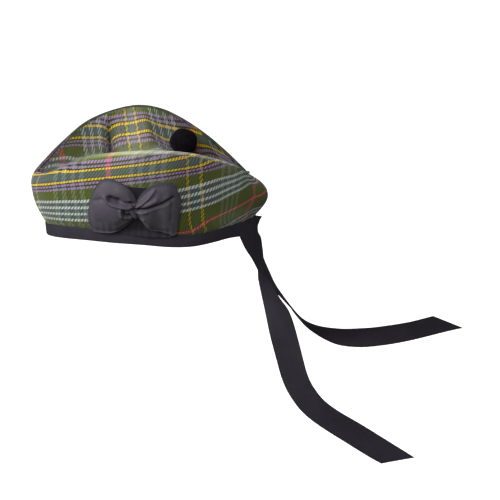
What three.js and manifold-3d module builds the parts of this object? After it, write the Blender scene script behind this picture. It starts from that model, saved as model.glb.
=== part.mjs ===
// A glengarry cap in tartan cloth: two side panels, a sunken crown, a ribbon binding round the
// head opening, a ribbon cockade on the wearer's left, a pompom (the toorie) and two ribbon tails.
// Millimetres. +Z is up, +X is the wearer's left, -Y is the front and +Y the back.
// The origin is the middle of the head opening, level with the front of the rim.
import * as THREE from "three";
import Module from "manifold-3d";
import { mergeVertices } from "three/addons/utils/BufferGeometryUtils.js";

const wasm = await Module();
wasm.setup();

// ---- Driving dimensions -------------------------------------------------------------------

const clothThickness = 2.0;
const ribbonThickness = 1.0;
const fitGap = 0.3;

const bandThickness = 1.2;
const bandGap = 0.45;
const bandHeight = 15;
const bandInnerHeight = 10;
const bandSteps = 60;

const panelSteps = 32;
const panelRows = 7;
const foldRows = 3;
const seamRun = 2.5;
const crownSlope = 20;
const crownColumns = 14;
const crownGap = 0.6;
const crownEndHalfWidth = 3.5;
const bellyEase = 1.25;
const sunkEase = 1.6;

const tailWidth = 32;
const tailColumns = 3;
const tailSteps = 34;
const upperCutLength = 30;
const lowerCutLength = 25;

const toorieRadius = 14.5;
const toorieCoreRadius = 11.5;
const toorieLocks = 36;
const toorieLift = 0.8;
const toorieY = 40;
const lockTipRadius = 2.1;
const lockFootRadius = 3.2;
const lockRoot = 3;
const lockSides = 5;

const cockadeThickness = 1.2;
const cockadeGap = 0.6;
const knotHalfSize = { across: 5.5, out: 4.2, up: 7.5 };
const knotPlace = { y: -16.5, z: 56, out: 7.2 };
const knotClearance = 0.7;
const loopFrontGap = 0.8;
const loopFrontRows = 10;
const loopColumns = 7;
const loopRoundness = 0.6;

// The cap from the front seam (first row) to the back seam (last row), on the wearer's left.
// rim: outside face of the binding at its foot. ridge: outside edge and top of the fold between
// side and crown. belly: how far the side puffs out past a straight line from binding to ridge.
// peak: how far up that line the belly is widest. ease: below 1 the belly starts at once above
// the binding, above 1 slowly. fold: radius of the ridge fold. sunk: how deep the crown lies.
const sections = [
  { rimX: 0, rimY: -115, rimZ: 0, ridgeX: 0, ridgeY: -125, ridgeZ: 75,
    belly: 5.5, peak: 0.55, ease: 0.5, fold: 6, sunk: 0 },
  { rimX: 17, rimY: -109, rimZ: 3.5, ridgeX: 28, ridgeY: -112, ridgeZ: 82.5,
    belly: 6, peak: 0.55, ease: 0.5, fold: 6, sunk: 3 },
  { rimX: 37, rimY: -92, rimZ: 9.5, ridgeX: 44.5, ridgeY: -93, ridgeZ: 95,
    belly: 6, peak: 0.5, ease: 0.5, fold: 5, sunk: 10 },
  { rimX: 51, rimY: -67, rimZ: 12.5, ridgeX: 58, ridgeY: -68, ridgeZ: 110.5,
    belly: 6, peak: 0.5, ease: 0.6, fold: 4, sunk: 17 },
  { rimX: 61, rimY: -39, rimZ: 13, ridgeX: 69, ridgeY: -39, ridgeZ: 119,
    belly: 5, peak: 0.5, ease: 0.7, fold: 3.5, sunk: 22 },
  { rimX: 66.5, rimY: -9, rimZ: 12, ridgeX: 75, ridgeY: -8, ridgeZ: 122.5,
    belly: 4, peak: 0.5, ease: 0.7, fold: 3.5, sunk: 24 },
  { rimX: 67.5, rimY: 21, rimZ: 8.5, ridgeX: 68.5, ridgeY: 20, ridgeZ: 119.5,
    belly: 4, peak: 0.5, ease: 0.8, fold: 3.5, sunk: 24 },
  { rimX: 64, rimY: 46, rimZ: 6.5, ridgeX: 54, ridgeY: 45, ridgeZ: 111,
    belly: 6, peak: 0.5, ease: 0.8, fold: 3.5, sunk: 21 },
  { rimX: 54, rimY: 70, rimZ: 6, ridgeX: 37, ridgeY: 69, ridgeZ: 98.5,
    belly: 9, peak: 0.5, ease: 0.9, fold: 3.5, sunk: 15 },
  { rimX: 38, rimY: 92, rimZ: 4.5, ridgeX: 19.5, ridgeY: 89, ridgeZ: 85,
    belly: 13, peak: 0.5, ease: 1.0, fold: 3, sunk: 8 },
  { rimX: 19.5, rimY: 109, rimZ: 1, ridgeX: 6, ridgeY: 104, ridgeZ: 73,
    belly: 16, peak: 0.52, ease: 1.2, fold: 2.5, sunk: 3 },
  { rimX: 0, rimY: 120, rimZ: -2, ridgeX: 0, ridgeY: 113, ridgeZ: 66,
    belly: 17.5, peak: 0.53, ease: 1.3, fold: 2.5, sunk: 0 },
];
const acrossColumns = ["rimX", "ridgeX"];
const lastSection = sections.length - 1;

// Folds that run across the crown, from the right edge to the left one.
const crownFolds = [
  { name: "front valley", rightY: -42, leftY: -36, height: -6, reach: 13 },
  { name: "middle ridge", rightY: -4, leftY: 22, height: 5, reach: 20 },
  { name: "back valley", rightY: 62, leftY: 58, height: -3, reach: 14 },
];

// The ribbon tails, row by row from the binding to the free end: the middle of the ribbon and
// how far it is turned about its own run, in degrees from facing the wearer's left.
const lowerTailRows = [
  { x: 21.5, y: 109.2, z: 10, turn: -48 },
  { x: 18.6, y: 113, z: -6, turn: -61 },
  { x: 13, y: 116.4, z: -22, turn: -76 },
  { x: 8, y: 121, z: -38, turn: -81 },
  { x: 6, y: 123.6, z: -48, turn: -90 },
  { x: 6, y: 129.8, z: -68, turn: -116 },
  { x: 7, y: 136.5, z: -89, turn: -127 },
  { x: 8, y: 145, z: -111, turn: -149 },
  { x: 8, y: 152.5, z: -142, turn: -168 },
  { x: 8, y: 160, z: -174, turn: -170 },
  { x: 8, y: 166, z: -198, turn: -168 },
  { x: 8, y: 174, z: -218, turn: -167 },
  { x: 8, y: 188.7, z: -241, turn: -169 },
  { x: 8, y: 209.2, z: -261, turn: -174 },
  { x: 8, y: 238.7, z: -284, turn: -181 },
  { x: 8, y: 269.2, z: -307, turn: -179 },
  { x: 8, y: 286.7, z: -320, turn: -174 },
];
const upperTailRows = [
  { x: -13.5, y: 124.6, z: 2.5, turn: -78 },
  { x: -13.5, y: 121.6, z: -5, turn: -88 },
  { x: -13.5, y: 122.9, z: -12, turn: -86 },
  { x: -10.5, y: 123.6, z: -21, turn: -81 },
  { x: -10, y: 125.7, z: -38, turn: -79 },
  { x: -9, y: 129.2, z: -55, turn: -84 },
  { x: -12, y: 137.1, z: -73.5, turn: -87 },
  { x: -13, y: 145.6, z: -90, turn: -92 },
  { x: -13, y: 162.4, z: -113.6, turn: -99 },
  { x: -12, y: 175.6, z: -130, turn: -111 },
  { x: -10, y: 194, z: -144, turn: -133 },
  { x: -8, y: 220.6, z: -155, turn: -157 },
  { x: -8, y: 245, z: -158.5, turn: -165 },
  { x: -8, y: 268.3, z: -157.8, turn: -164 },
  { x: -8, y: 302.4, z: -153, turn: -164 },
  { x: -8, y: 336.9, z: -145.4, turn: -166 },
];

// The cockade's bow loops, row by row from the knot to the outer bend: distance from the knot,
// top and foot of the ribbon above the knot's middle, and how far its front stands off the back.
const frontLoopRows = [
  { run: 5.5, top: 9, foot: -6, lift: 4 },
  { run: 11, top: 26, foot: -12, lift: 8 },
  { run: 20, top: 37, foot: -18, lift: 10 },
  { run: 30, top: 38, foot: -20, lift: 10 },
  { run: 40, top: 29, foot: -20, lift: 7 },
  { run: 46, top: 10, foot: -17, lift: 3.5 },
];
const backLoopRows = [
  { run: 5.5, top: 9, foot: -6, lift: 4 },
  { run: 14, top: 24, foot: -15, lift: 8 },
  { run: 24, top: 31, foot: -26, lift: 10 },
  { run: 34, top: 31.5, foot: -32, lift: 10 },
  { run: 43, top: 30, foot: -29, lift: 7 },
  { run: 48, top: 22, foot: -14, lift: 3.5 },
];
const cockadeBacking = { frontY: -57, backY: 25, frontFootZ: 34, backFootZ: 24, topZ: 84 };
const cockadeFloorZ = 31;

// Small steps along a surface, used to find its slope: in table rows and in rows across.
const slopeStep = 0.02;
const acrossStep = 0.1;

// ---- Helpers ------------------------------------------------------------------------------

const radians = THREE.MathUtils.degToRad;
const up = new THREE.Vector3(0, 0, 1);
const left = new THREE.Vector3(1, 0, 0);

// Smooth value of a column between the rows of a table, with the table's ends given by ghost.
function smoothValue(rows, column, place, ghost) {
  const first = Math.min(Math.max(Math.floor(place), 0), rows.length - 2);
  const t = place - first;
  const value = (i) => (i < 0 || i >= rows.length ? ghost(i, column) : rows[i][column]);
  const [a, b, c, d] = [value(first - 1), value(first), value(first + 1), value(first + 2)];
  const slopeB = (c - a) / 2;
  const slopeC = (d - b) / 2;
  const t2 = t * t;
  const t3 = t2 * t;
  const fromB = (2 * t3 - 3 * t2 + 1) * b + (t3 - 2 * t2 + t) * slopeB;
  const fromC = (3 * t2 - 2 * t3) * c + (t3 - t2) * slopeC;
  return fromB + fromC;
}

// Past the front and back seams the cap goes on as its own mirror image.
function capGhost(i, column) {
  const mirrored = i < 0 ? -i : 2 * lastSection - i;
  const sign = acrossColumns.includes(column) ? -1 : 1;
  return sign * sections[mirrored][column];
}

function capValue(column, place) {
  return smoothValue(sections, column, place, capGhost);
}

// Past its ends a plain table goes on straight.
function straightGhost(rows) {
  return (i, column) => {
    const end = i < 0 ? 0 : rows.length - 1;
    const inside = i < 0 ? 1 : rows.length - 2;
    return 2 * rows[end][column] - rows[inside][column];
  };
}

function rowValue(rows, column, place) {
  return smoothValue(rows, column, place, straightGhost(rows));
}

// The same geometry with its triangles facing outwards.
function turnedOut(geometry) {
  const p = geometry.getAttribute("position");
  const index = geometry.getIndex();
  const corner = (i) => new THREE.Vector3().fromBufferAttribute(p, index.getX(i));
  let volume = 0;
  for (let i = 0; i < index.count; i += 3) {
    volume += corner(i).dot(corner(i + 1).cross(corner(i + 2)));
  }
  if (volume < 0) {
    const flipped = Array.from(index.array);
    for (let i = 0; i < flipped.length; i += 3) {
      [flipped[i + 1], flipped[i + 2]] = [flipped[i + 2], flipped[i + 1]];
    }
    geometry.setIndex(flipped);
  }
  geometry.computeVertexNormals();
  return geometry;
}

function geometryOf(points, triangles) {
  const geometry = new THREE.BufferGeometry();
  const places = points.flatMap((v) => [v.x, v.y, v.z]);
  geometry.setAttribute("position", new THREE.Float32BufferAttribute(places, 3));
  geometry.setIndex(triangles);
  return turnedOut(geometry);
}

// A closed wall between two grids of points of the same size, front and back of one sheet.
function closedSheet(front, back) {
  const rows = front.length;
  const columns = front[0].length;
  const points = [...front.flat(), ...back.flat()];
  const id = (side, r, c) => side * rows * columns + r * columns + c;
  const triangles = [];
  const quad = (a, b, c, d) => triangles.push(a, b, c, a, c, d);
  const lastRow = rows - 1;
  const lastColumn = columns - 1;
  for (let r = 0; r < lastRow; r += 1) {
    for (let c = 0; c < lastColumn; c += 1) {
      quad(id(0, r, c), id(0, r, c + 1), id(0, r + 1, c + 1), id(0, r + 1, c));
      quad(id(1, r, c), id(1, r + 1, c), id(1, r + 1, c + 1), id(1, r, c + 1));
    }
  }
  for (let r = 0; r < lastRow; r += 1) {
    quad(id(0, r, 0), id(0, r + 1, 0), id(1, r + 1, 0), id(1, r, 0));
    quad(id(0, r, lastColumn), id(1, r, lastColumn), id(1, r + 1, lastColumn), id(0, r + 1, lastColumn));
  }
  for (let c = 0; c < lastColumn; c += 1) {
    quad(id(0, 0, c), id(1, 0, c), id(1, 0, c + 1), id(0, 0, c + 1));
    quad(id(0, lastRow, c), id(0, lastRow, c + 1), id(1, lastRow, c + 1), id(1, lastRow, c));
  }
  return geometryOf(points, triangles);
}

// A closed ring made of the same outline repeated round a loop.
function closedRing(outlines) {
  const count = outlines.length;
  const size = outlines[0].length;
  const triangles = [];
  for (let r = 0; r < count; r += 1) {
    const next = (r + 1) % count;
    for (let c = 0; c < size; c += 1) {
      const beside = (c + 1) % size;
      const [a, b] = [r * size + c, r * size + beside];
      const [d, e] = [next * size + c, next * size + beside];
      triangles.push(a, b, e, a, e, d);
    }
  }
  return geometryOf(outlines.flat(), triangles);
}

function solidOf(geometry) {
  const bare = geometry.clone();
  bare.deleteAttribute("normal");
  bare.deleteAttribute("uv");
  const merged = mergeVertices(bare, 1e-4);
  return new wasm.Manifold(new wasm.Mesh({
    numProp: 3,
    vertProperties: new Float32Array(merged.getAttribute("position").array),
    triVerts: new Uint32Array(merged.getIndex().array),
  }));
}

function geometryOfSolid(solid) {
  const mesh = solid.getMesh();
  const geometry = new THREE.BufferGeometry();
  geometry.setAttribute("position", new THREE.BufferAttribute(mesh.vertProperties, 3));
  geometry.setIndex(Array.from(mesh.triVerts));
  geometry.computeVertexNormals();
  return geometry;
}

// ---- The cap's surface --------------------------------------------------------------------

// A spot on the rim curve or on the ridge curve.
function planPoint(prefix, place) {
  const x = capValue(`${prefix}X`, place);
  const y = capValue(`${prefix}Y`, place);
  const z = capValue(`${prefix}Z`, place);
  return new THREE.Vector3(x, y, z);
}

// Level direction that points away from the cap's middle, square to a rim or ridge curve.
function outwardAt(prefix, place) {
  const run = planPoint(prefix, place + slopeStep).sub(planPoint(prefix, place - slopeStep));
  return new THREE.Vector3(run.y, -run.x, 0).normalize();
}

// Outside face of a side panel, from its foot inside the binding over the ridge to the crown
// seam. Rows: 0 foot, 1 top of the binding, then the belly, the fold and the seam.
const seamRow = 1 + panelRows + foldRows + 1;
const crownRow = seamRow + crownGap / seamRun;

function panelPoint(place, row) {
  const inset = bandThickness + bandGap;
  const rimOut = outwardAt("rim", place);
  const foot = planPoint("rim", place).addScaledVector(rimOut, -inset);
  if (row < 1) {
    const footZ = bandThickness + fitGap;
    return foot.addScaledVector(up, footZ + (bandHeight + fitGap - footZ) * row);
  }
  foot.addScaledVector(up, bandHeight + fitGap);
  const ridgeOut = outwardAt("ridge", place);
  const radius = capValue("fold", place);
  const foldCentre = planPoint("ridge", place)
    .addScaledVector(ridgeOut, -radius)
    .addScaledVector(up, -radius);
  if (row <= 1 + panelRows) {
    const rise = Math.pow((row - 1) / panelRows, bellyEase);
    const shift = Math.log(0.5) / Math.log(capValue("peak", place));
    const swell = Math.pow(Math.sin(Math.PI * Math.pow(rise, shift)), capValue("ease", place));
    const belly = capValue("belly", place) * (rise > 0 && rise < 1 ? swell : 0);
    const out = rimOut.clone().lerp(ridgeOut, rise).normalize();
    const top = foldCentre.addScaledVector(ridgeOut, radius);
    return foot.lerp(top, rise).addScaledVector(out, belly);
  }
  const slope = radians(crownSlope);
  const turned = Math.min((row - 1 - panelRows) / foldRows, 1) * (Math.PI / 2 + slope);
  const onFold = foldCentre
    .addScaledVector(ridgeOut, radius * Math.cos(turned))
    .addScaledVector(up, radius * Math.sin(turned));
  const past = Math.max(row - 1 - panelRows - foldRows, 0) * seamRun;
  return onFold
    .addScaledVector(ridgeOut, -past * Math.cos(slope))
    .addScaledVector(up, -past * Math.sin(slope));
}

// Height that the folds add to the crown at one spot; across is 1 at the left edge, -1 right.
function foldHeight(y, across) {
  let height = 0;
  for (const fold of crownFolds) {
    const middle = THREE.MathUtils.lerp(fold.rightY, fold.leftY, (across + 1) / 2);
    const off = Math.min(Math.abs(y - middle) / fold.reach, 1);
    height += fold.height * (1 - off) * (1 - off * off);
  }
  return height * (1 - Math.pow(Math.abs(across), 3));
}

// Outside face of the crown: across runs from 1 at the left seam to -1 at the right seam.
function crownPoint(place, across) {
  const seam = panelPoint(place, crownRow);
  const depth = capValue("sunk", place) * (1 - Math.pow(Math.abs(across), sunkEase));
  const y = seam.y;
  return new THREE.Vector3(seam.x * across, y, seam.z - depth + foldHeight(y, across));
}

// Direction square to a surface, taken between its lowest and highest value across.
function normalOf(surface, place, across, lowest, highest) {
  const step = surface === panelPoint ? acrossStep : slopeStep;
  const alongA = surface(place + slopeStep, across);
  const alongB = surface(place - slopeStep, across);
  const sideA = surface(place, Math.min(across + step, highest));
  const sideB = surface(place, Math.max(across - step, lowest));
  return alongA.sub(alongB).cross(sideA.sub(sideB)).normalize();
}

// One side of the cap, mirrored across for the wearer's right (side -1).
function sidePanel(side) {
  const outer = [];
  const inner = [];
  for (let i = 0; i <= panelSteps; i += 1) {
    const place = (i / panelSteps) * lastSection;
    const outerRow = [];
    const innerRow = [];
    for (let row = 0; row <= seamRow; row += 1) {
      const point = panelPoint(place, row);
      const normal = normalOf(panelPoint, place, row, 0, seamRow);
      const inside = point.clone().addScaledVector(normal, -clothThickness);
      for (const [corner, list] of [[point, outerRow], [inside, innerRow]]) {
        corner.x = side * Math.max(corner.x, fitGap / 2);
        list.push(corner);
      }
    }
    outer.push(outerRow);
    inner.push(innerRow);
  }
  return closedSheet(outer, inner);
}

// The crown keeps the side panels' stations and ends where the seams leave it a little width.
function crownPlaces() {
  const halfWidth = (place) => panelPoint(place, crownRow).x;
  let [first, last] = [0, lastSection];
  while (halfWidth(first) < crownEndHalfWidth) first += slopeStep;
  while (halfWidth(last) < crownEndHalfWidth) last -= slopeStep;
  const between = [];
  for (let i = 0; i <= panelSteps; i += 1) {
    const place = (i / panelSteps) * lastSection;
    if (place > first + acrossStep / 2 && place < last - acrossStep / 2) between.push(place);
  }
  return [first, ...between, last];
}

// The sunken crown between the two folded-in edges, dented by its three folds.
function crown() {
  const upper = [];
  const lower = [];
  for (const place of crownPlaces()) {
    const upperRow = [];
    const lowerRow = [];
    for (let c = 0; c <= crownColumns; c += 1) {
      const across = 1 - (2 * c) / crownColumns;
      const point = crownPoint(place, across);
      const atSeam = c === 0 || c === crownColumns;
      const normal = atSeam
        ? normalOf(panelPoint, place, seamRow, 0, seamRow)
        : normalOf(crownPoint, place, -across, -1, 1);
      if (atSeam) normal.x *= Math.sign(across);
      else normal.set(-normal.x, normal.y, normal.z);
      upperRow.push(point);
      lowerRow.push(point.clone().addScaledVector(normal, -clothThickness * Math.sign(normal.z)));
    }
    upper.push(upperRow);
    lower.push(lowerRow);
  }
  return closedSheet(upper, lower);
}

// ---- Binding ------------------------------------------------------------------------------

// The binding folds round the edge of the cloth: a tall leg outside and a shorter one inside.
function headBand() {
  const slot = clothThickness + 2 * bandGap;
  const depth = slot + 2 * bandThickness;
  const fold = bandThickness;
  const profile = [
    { out: 0, z: bandHeight },
    { out: 0, z: fold },
    { out: -fold, z: 0 },
    { out: -depth + fold, z: 0 },
    { out: -depth, z: fold },
    { out: -depth, z: bandInnerHeight },
    { out: -depth + bandThickness, z: bandInnerHeight },
    { out: -depth + bandThickness, z: fold },
    { out: -bandThickness, z: fold },
    { out: -bandThickness, z: bandHeight },
  ];
  const outlines = [];
  for (let i = 0; i < bandSteps; i += 1) {
    const round = (2 * lastSection * i) / bandSteps;
    const place = round <= lastSection ? round : 2 * lastSection - round;
    const side = round <= lastSection ? 1 : -1;
    const foot = planPoint("rim", place);
    const out = outwardAt("rim", place);
    outlines.push(profile.map((corner) => {
      const point = foot.clone().addScaledVector(out, corner.out).addScaledVector(up, corner.z);
      point.x *= side;
      return point;
    }));
  }
  return closedRing(outlines);
}

// ---- Ribbon tails -------------------------------------------------------------------------

// A flat ribbon along a table of rows, its end cut on the slant with one edge the longer.
function tail(rows, cutLength, longEdge) {
  const spot = (place) => new THREE.Vector3(
    rowValue(rows, "x", place),
    rowValue(rows, "y", place),
    rowValue(rows, "z", place),
  );
  const front = [];
  const back = [];
  for (let i = 0; i <= tailSteps; i += 1) {
    const place = ((rows.length - 1) * i) / tailSteps;
    const middle = spot(place);
    const run = spot(place + slopeStep).sub(spot(place - slopeStep)).normalize();
    const rise = left.clone().cross(run).normalize();
    const depth = run.clone().cross(rise);
    const turn = radians(rowValue(rows, "turn", place));
    const width = rise.clone().multiplyScalar(Math.cos(turn)).addScaledVector(depth, Math.sin(turn));
    const face = width.clone().cross(run).normalize();
    const [frontRow, backRow] = [[], []];
    for (let c = 0; c <= tailColumns; c += 1) {
      const across = c / tailColumns;
      const point = middle.clone().addScaledVector(width, tailWidth * (across - 0.5));
      if (i === tailSteps) {
        point.addScaledVector(run, cutLength * (longEdge === 1 ? across : 1 - across));
      }
      frontRow.push(point.clone().addScaledVector(face, ribbonThickness / 2));
      backRow.push(point.clone().addScaledVector(face, -ribbonThickness / 2));
    }
    front.push(frontRow);
    back.push(backRow);
  }
  return closedSheet(front, back);
}

// ---- Cockade ------------------------------------------------------------------------------

// A spot on the left side panel at a given distance back and height, moved out along X. The
// panel's own two directions are followed until the spot is met, starting near its middle.
function onLeftSide(y, z, out) {
  const level = Math.max(z, cockadeFloorZ);
  const rounds = 12;
  const [lowestRow, highestRow] = [1.2, panelRows + 0.9];
  let [place, row] = [5, 4];
  for (let i = 0; i < rounds; i += 1) {
    const here = panelPoint(place, row);
    const perPlace = panelPoint(place + slopeStep, row).sub(here).divideScalar(slopeStep);
    const perRow = panelPoint(place, row + slopeStep).sub(here).divideScalar(slopeStep);
    const spread = perPlace.y * perRow.z - perPlace.z * perRow.y;
    const [missY, missZ] = [y - here.y, level - here.z];
    place += (missY * perRow.z - missZ * perRow.y) / spread;
    row += (missZ * perPlace.y - missY * perPlace.z) / spread;
    row = Math.min(Math.max(row, lowestRow), highestRow);
  }
  return new THREE.Vector3(panelPoint(place, row).x + out, y, z);
}

// A closed sheet lying over the left side panel.
function sheetOnSide(spotAt, rows, columns, thickness) {
  const front = [];
  const back = [];
  for (let r = 0; r <= rows; r += 1) {
    const [frontRow, backRow] = [[], []];
    for (let c = 0; c <= columns; c += 1) {
      const { y, z, out } = spotAt(r / rows, c / columns);
      backRow.push(onLeftSide(y, z, out));
      frontRow.push(onLeftSide(y, z, out + thickness));
    }
    front.push(frontRow);
    back.push(backRow);
  }
  return closedSheet(front, back);
}

// The flat piece under the bow loops.
function cockadeBack() {
  const { frontY, backY, frontFootZ, backFootZ, topZ } = cockadeBacking;
  const mix = THREE.MathUtils.lerp;
  const spotAt = (along, upward) => ({
    y: mix(frontY, backY, along),
    z: mix(mix(frontFootZ, backFootZ, along), topZ, upward),
    out: cockadeGap,
  });
  return sheetOnSide(spotAt, 8, 5, cockadeThickness);
}

// A bow loop: the ribbon leaves the knot, puffs forward, bends round and comes back behind.
function bowLoop(rows, direction) {
  const bends = rows.length - 1;
  const backOut = 2 * cockadeGap + cockadeThickness;
  const frontOut = backOut + cockadeThickness + loopFrontGap;
  const edgeMargin = 0.06;
  const [outside, inside] = [[], []];
  for (let r = 0; r <= 2 * loopFrontRows; r += 1) {
    const isFront = r <= loopFrontRows;
    const place = (bends * (isFront ? r : 2 * loopFrontRows - r)) / loopFrontRows;
    const reach = rowValue(rows, "run", place);
    const top = rowValue(rows, "top", place);
    const foot = rowValue(rows, "foot", place);
    const lift = rowValue(rows, "lift", place);
    const [outsideRow, insideRow] = [[], []];
    for (let c = 0; c <= loopColumns; c += 1) {
      const across = c / loopColumns;
      const z = knotPlace.z + THREE.MathUtils.lerp(foot, top, across);
      const y = knotPlace.y + direction * reach;
      const rounded = THREE.MathUtils.clamp(across, edgeMargin, 1 - edgeMargin);
      const stand = frontOut + lift * Math.pow(Math.sin(Math.PI * rounded), loopRoundness);
      const [nearOut, farOut] = isFront
        ? [stand, stand + cockadeThickness]
        : [backOut + cockadeThickness, backOut];
      const bend = r === loopFrontRows ? direction * cockadeThickness : 0;
      outsideRow.push(onLeftSide(y + bend, z, farOut));
      insideRow.push(onLeftSide(y, z, nearOut));
    }
    outside.push(outsideRow);
    inside.push(insideRow);
  }
  return closedSheet(outside, inside);
}

// The wrapped middle of the bow, a flattened ball.
function cockadeKnot() {
  const ball = new THREE.SphereGeometry(1, 12, 8);
  ball.scale(knotHalfSize.out, knotHalfSize.across - knotClearance, knotHalfSize.up);
  const middle = onLeftSide(knotPlace.y, knotPlace.z, knotPlace.out);
  ball.translate(middle.x, middle.y, middle.z);
  return geometryOfSolid(solidOf(ball));
}

// ---- Toorie -------------------------------------------------------------------------------

// Locks of wool stand out evenly all round a core and are fused to it.
function toorie() {
  const seat = crownPoint(toorieSection(), 0);
  const core = new THREE.IcosahedronGeometry(toorieCoreRadius, 1);
  let ball = solidOf(core);
  const golden = Math.PI * (3 - Math.sqrt(5));
  const lockLength = toorieRadius - toorieCoreRadius + lockRoot;
  const lockAxis = new THREE.Vector3(0, 1, 0);
  for (let i = 0; i < toorieLocks; i += 1) {
    const height = 1 - (2 * (i + 0.5)) / toorieLocks;
    const girth = Math.sqrt(1 - height * height);
    const turn = golden * i;
    const direction = new THREE.Vector3(girth * Math.cos(turn), girth * Math.sin(turn), height);
    const lock = new THREE.CylinderGeometry(lockTipRadius, lockFootRadius, lockLength, lockSides, 1);
    lock.translate(0, toorieRadius - lockLength / 2, 0);
    lock.applyQuaternion(new THREE.Quaternion().setFromUnitVectors(lockAxis, direction));
    ball = ball.add(solidOf(lock));
  }
  const geometry = geometryOfSolid(ball);
  geometry.translate(0, seat.y, seat.z + toorieRadius + toorieLift);
  return geometry;
}

// Row of the cap's table at which the toorie sits.
function toorieSection() {
  let place = lastSection / 2;
  while (panelPoint(place, seamRow).y < toorieY) place += slopeStep / 2;
  return place;
}

// ---- Assembly -----------------------------------------------------------------------------

const finishes = {
  tartan: { color: 0x5d6b3a, roughness: 0.95, metalness: 0 },
  binding: { color: 0x201e24, roughness: 0.75, metalness: 0 },
  tails: { color: 0x1d1b20, roughness: 0.7, metalness: 0 },
  cockade: { color: 0x37353a, roughness: 0.65, metalness: 0 },
  wool: { color: 0x08080a, roughness: 1, metalness: 0 },
};

function piece(name, geometry, finish) {
  const mesh = new THREE.Mesh(geometry, new THREE.MeshStandardMaterial(finishes[finish]));
  mesh.name = name;
  return mesh;
}

const cap = new THREE.Group();
cap.add(piece("left_side", sidePanel(1), "tartan"));
cap.add(piece("right_side", sidePanel(-1), "tartan"));
cap.add(piece("crown", crown(), "tartan"));
cap.add(piece("head_band", headBand(), "binding"));
cap.add(piece("tail_lower", tail(lowerTailRows, lowerCutLength, 0), "tails"));
cap.add(piece("tail_upper", tail(upperTailRows, upperCutLength, 1), "tails"));
cap.add(piece("cockade_backing", cockadeBack(), "cockade"));
cap.add(piece("cockade_front_loop", bowLoop(frontLoopRows, -1), "cockade"));
cap.add(piece("cockade_back_loop", bowLoop(backLoopRows, 1), "cockade"));
cap.add(piece("cockade_knot", cockadeKnot(), "cockade"));
cap.add(piece("toorie", toorie(), "wool"));

export default cap;
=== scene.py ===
# %% [markdown]
# # A glengarry cap in tartan
# A glengarry is a boat-shaped wool cap. Two side panels rise from a ribbon binding, fold over into
# a ridge and meet a long crown that lies sunk between them. A ribbon bow sits on the wearer's left,
# a wool pompom called a toorie on the crown, and two ribbon tails hang at the back.
# Cloth could be modelled by hand, sculpted or simulated. Here every cloth piece is a surface worked
# out from a short table, because a table keeps the folds, the thread directions and the seams of
# neighbouring pieces in step with each other.

# %% Load the measured cap
import math
import bmesh
import bpy
import numpy as np
from mathutils import Matrix, Vector


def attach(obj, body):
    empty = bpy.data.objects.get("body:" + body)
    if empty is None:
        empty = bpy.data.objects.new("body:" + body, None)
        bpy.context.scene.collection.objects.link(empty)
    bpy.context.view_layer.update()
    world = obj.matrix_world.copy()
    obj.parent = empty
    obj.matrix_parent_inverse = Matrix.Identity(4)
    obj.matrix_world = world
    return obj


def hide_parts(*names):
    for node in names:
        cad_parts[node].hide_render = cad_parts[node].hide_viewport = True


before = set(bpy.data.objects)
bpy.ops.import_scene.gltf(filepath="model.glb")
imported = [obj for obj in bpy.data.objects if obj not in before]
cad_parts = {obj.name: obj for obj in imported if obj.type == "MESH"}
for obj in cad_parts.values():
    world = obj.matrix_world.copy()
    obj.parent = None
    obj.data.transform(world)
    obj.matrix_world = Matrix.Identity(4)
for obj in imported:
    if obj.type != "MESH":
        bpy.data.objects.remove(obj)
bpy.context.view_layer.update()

# %% [markdown]
# ## The camera
# The cap is seen from its left and a little above, through a long lens so that the far side is not
# much smaller than the near one. The camera is placed first, because everything is judged from it.

# %% Place the camera
view_azimuth, view_elevation = 85.0, 26.2
view_distance, view_height = 1.32, 0.066
move_right, move_down = 0.11275, 0.0825


def link_object(name, data):
    """A new object in the scene, at the origin and unturned."""
    thing = bpy.data.objects.new(name, data)
    bpy.context.scene.collection.objects.link(thing)
    return thing


def direction_towards_viewer(azimuth, elevation):
    """Azimuth 0 faces the cap's front and 90 its left side, in degrees."""
    a, e = math.radians(azimuth), math.radians(elevation)
    return np.array([math.sin(a) * math.cos(e), -math.cos(a) * math.cos(e), math.sin(e)])


def unit(vectors):
    """The same directions with length 1."""
    return vectors / np.maximum(np.linalg.norm(vectors, axis=-1, keepdims=True), 1e-9)


camera_data = bpy.data.cameras.new("camera")
camera_data.sensor_width = 36.0
camera_data.lens = 86.4
camera_data.clip_end = 50.0
camera = link_object("camera", camera_data)
bpy.context.scene.camera = camera

backward = direction_towards_viewer(view_azimuth, view_elevation)
rightward = unit(np.cross([0, 0, 1], backward))
upward = np.cross(backward, rightward)
camera.location = (np.array([0, 0, view_height]) + backward * view_distance
                   + rightward * move_right - upward * move_down)
camera.rotation_mode = "QUATERNION"
facing = Matrix(np.stack([rightward, upward, backward], axis=1).tolist())
camera.rotation_quaternion = facing.to_quaternion()
print("camera at", [round(v, 3) for v in camera.location])

# %% [markdown]
# ## Light and floor
# Product light is large and soft. A big lamp stands in front of the cap and above it, so the front
# is brighter than the back. Another fills from the viewer's side, a weak one lifts the far side of
# the crown, and a low one reaches under the front.
# The floor is a wide pale bowl well below the cap, which is held up as a head would hold it. The
# floor glows by itself and takes no part in reflections, so it stays even and does not light up
# the cap from below.

# %% Set up light and floor
def area_lamp(name, place, aim, size, power):
    data = bpy.data.lights.new(name, "AREA")
    data.size = size
    data.energy = power
    lamp = link_object(name, data)
    lamp.location = place
    lamp.rotation_mode = "QUATERNION"
    lamp.rotation_quaternion = (Vector(aim) - Vector(place)).to_track_quat("-Z", "Y")


def circle(sides):
    """Spots round a circle of radius 1."""
    return [(math.cos(a), math.sin(a)) for a in np.linspace(0, 2 * math.pi, sides + 1)[:-1]]


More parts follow.
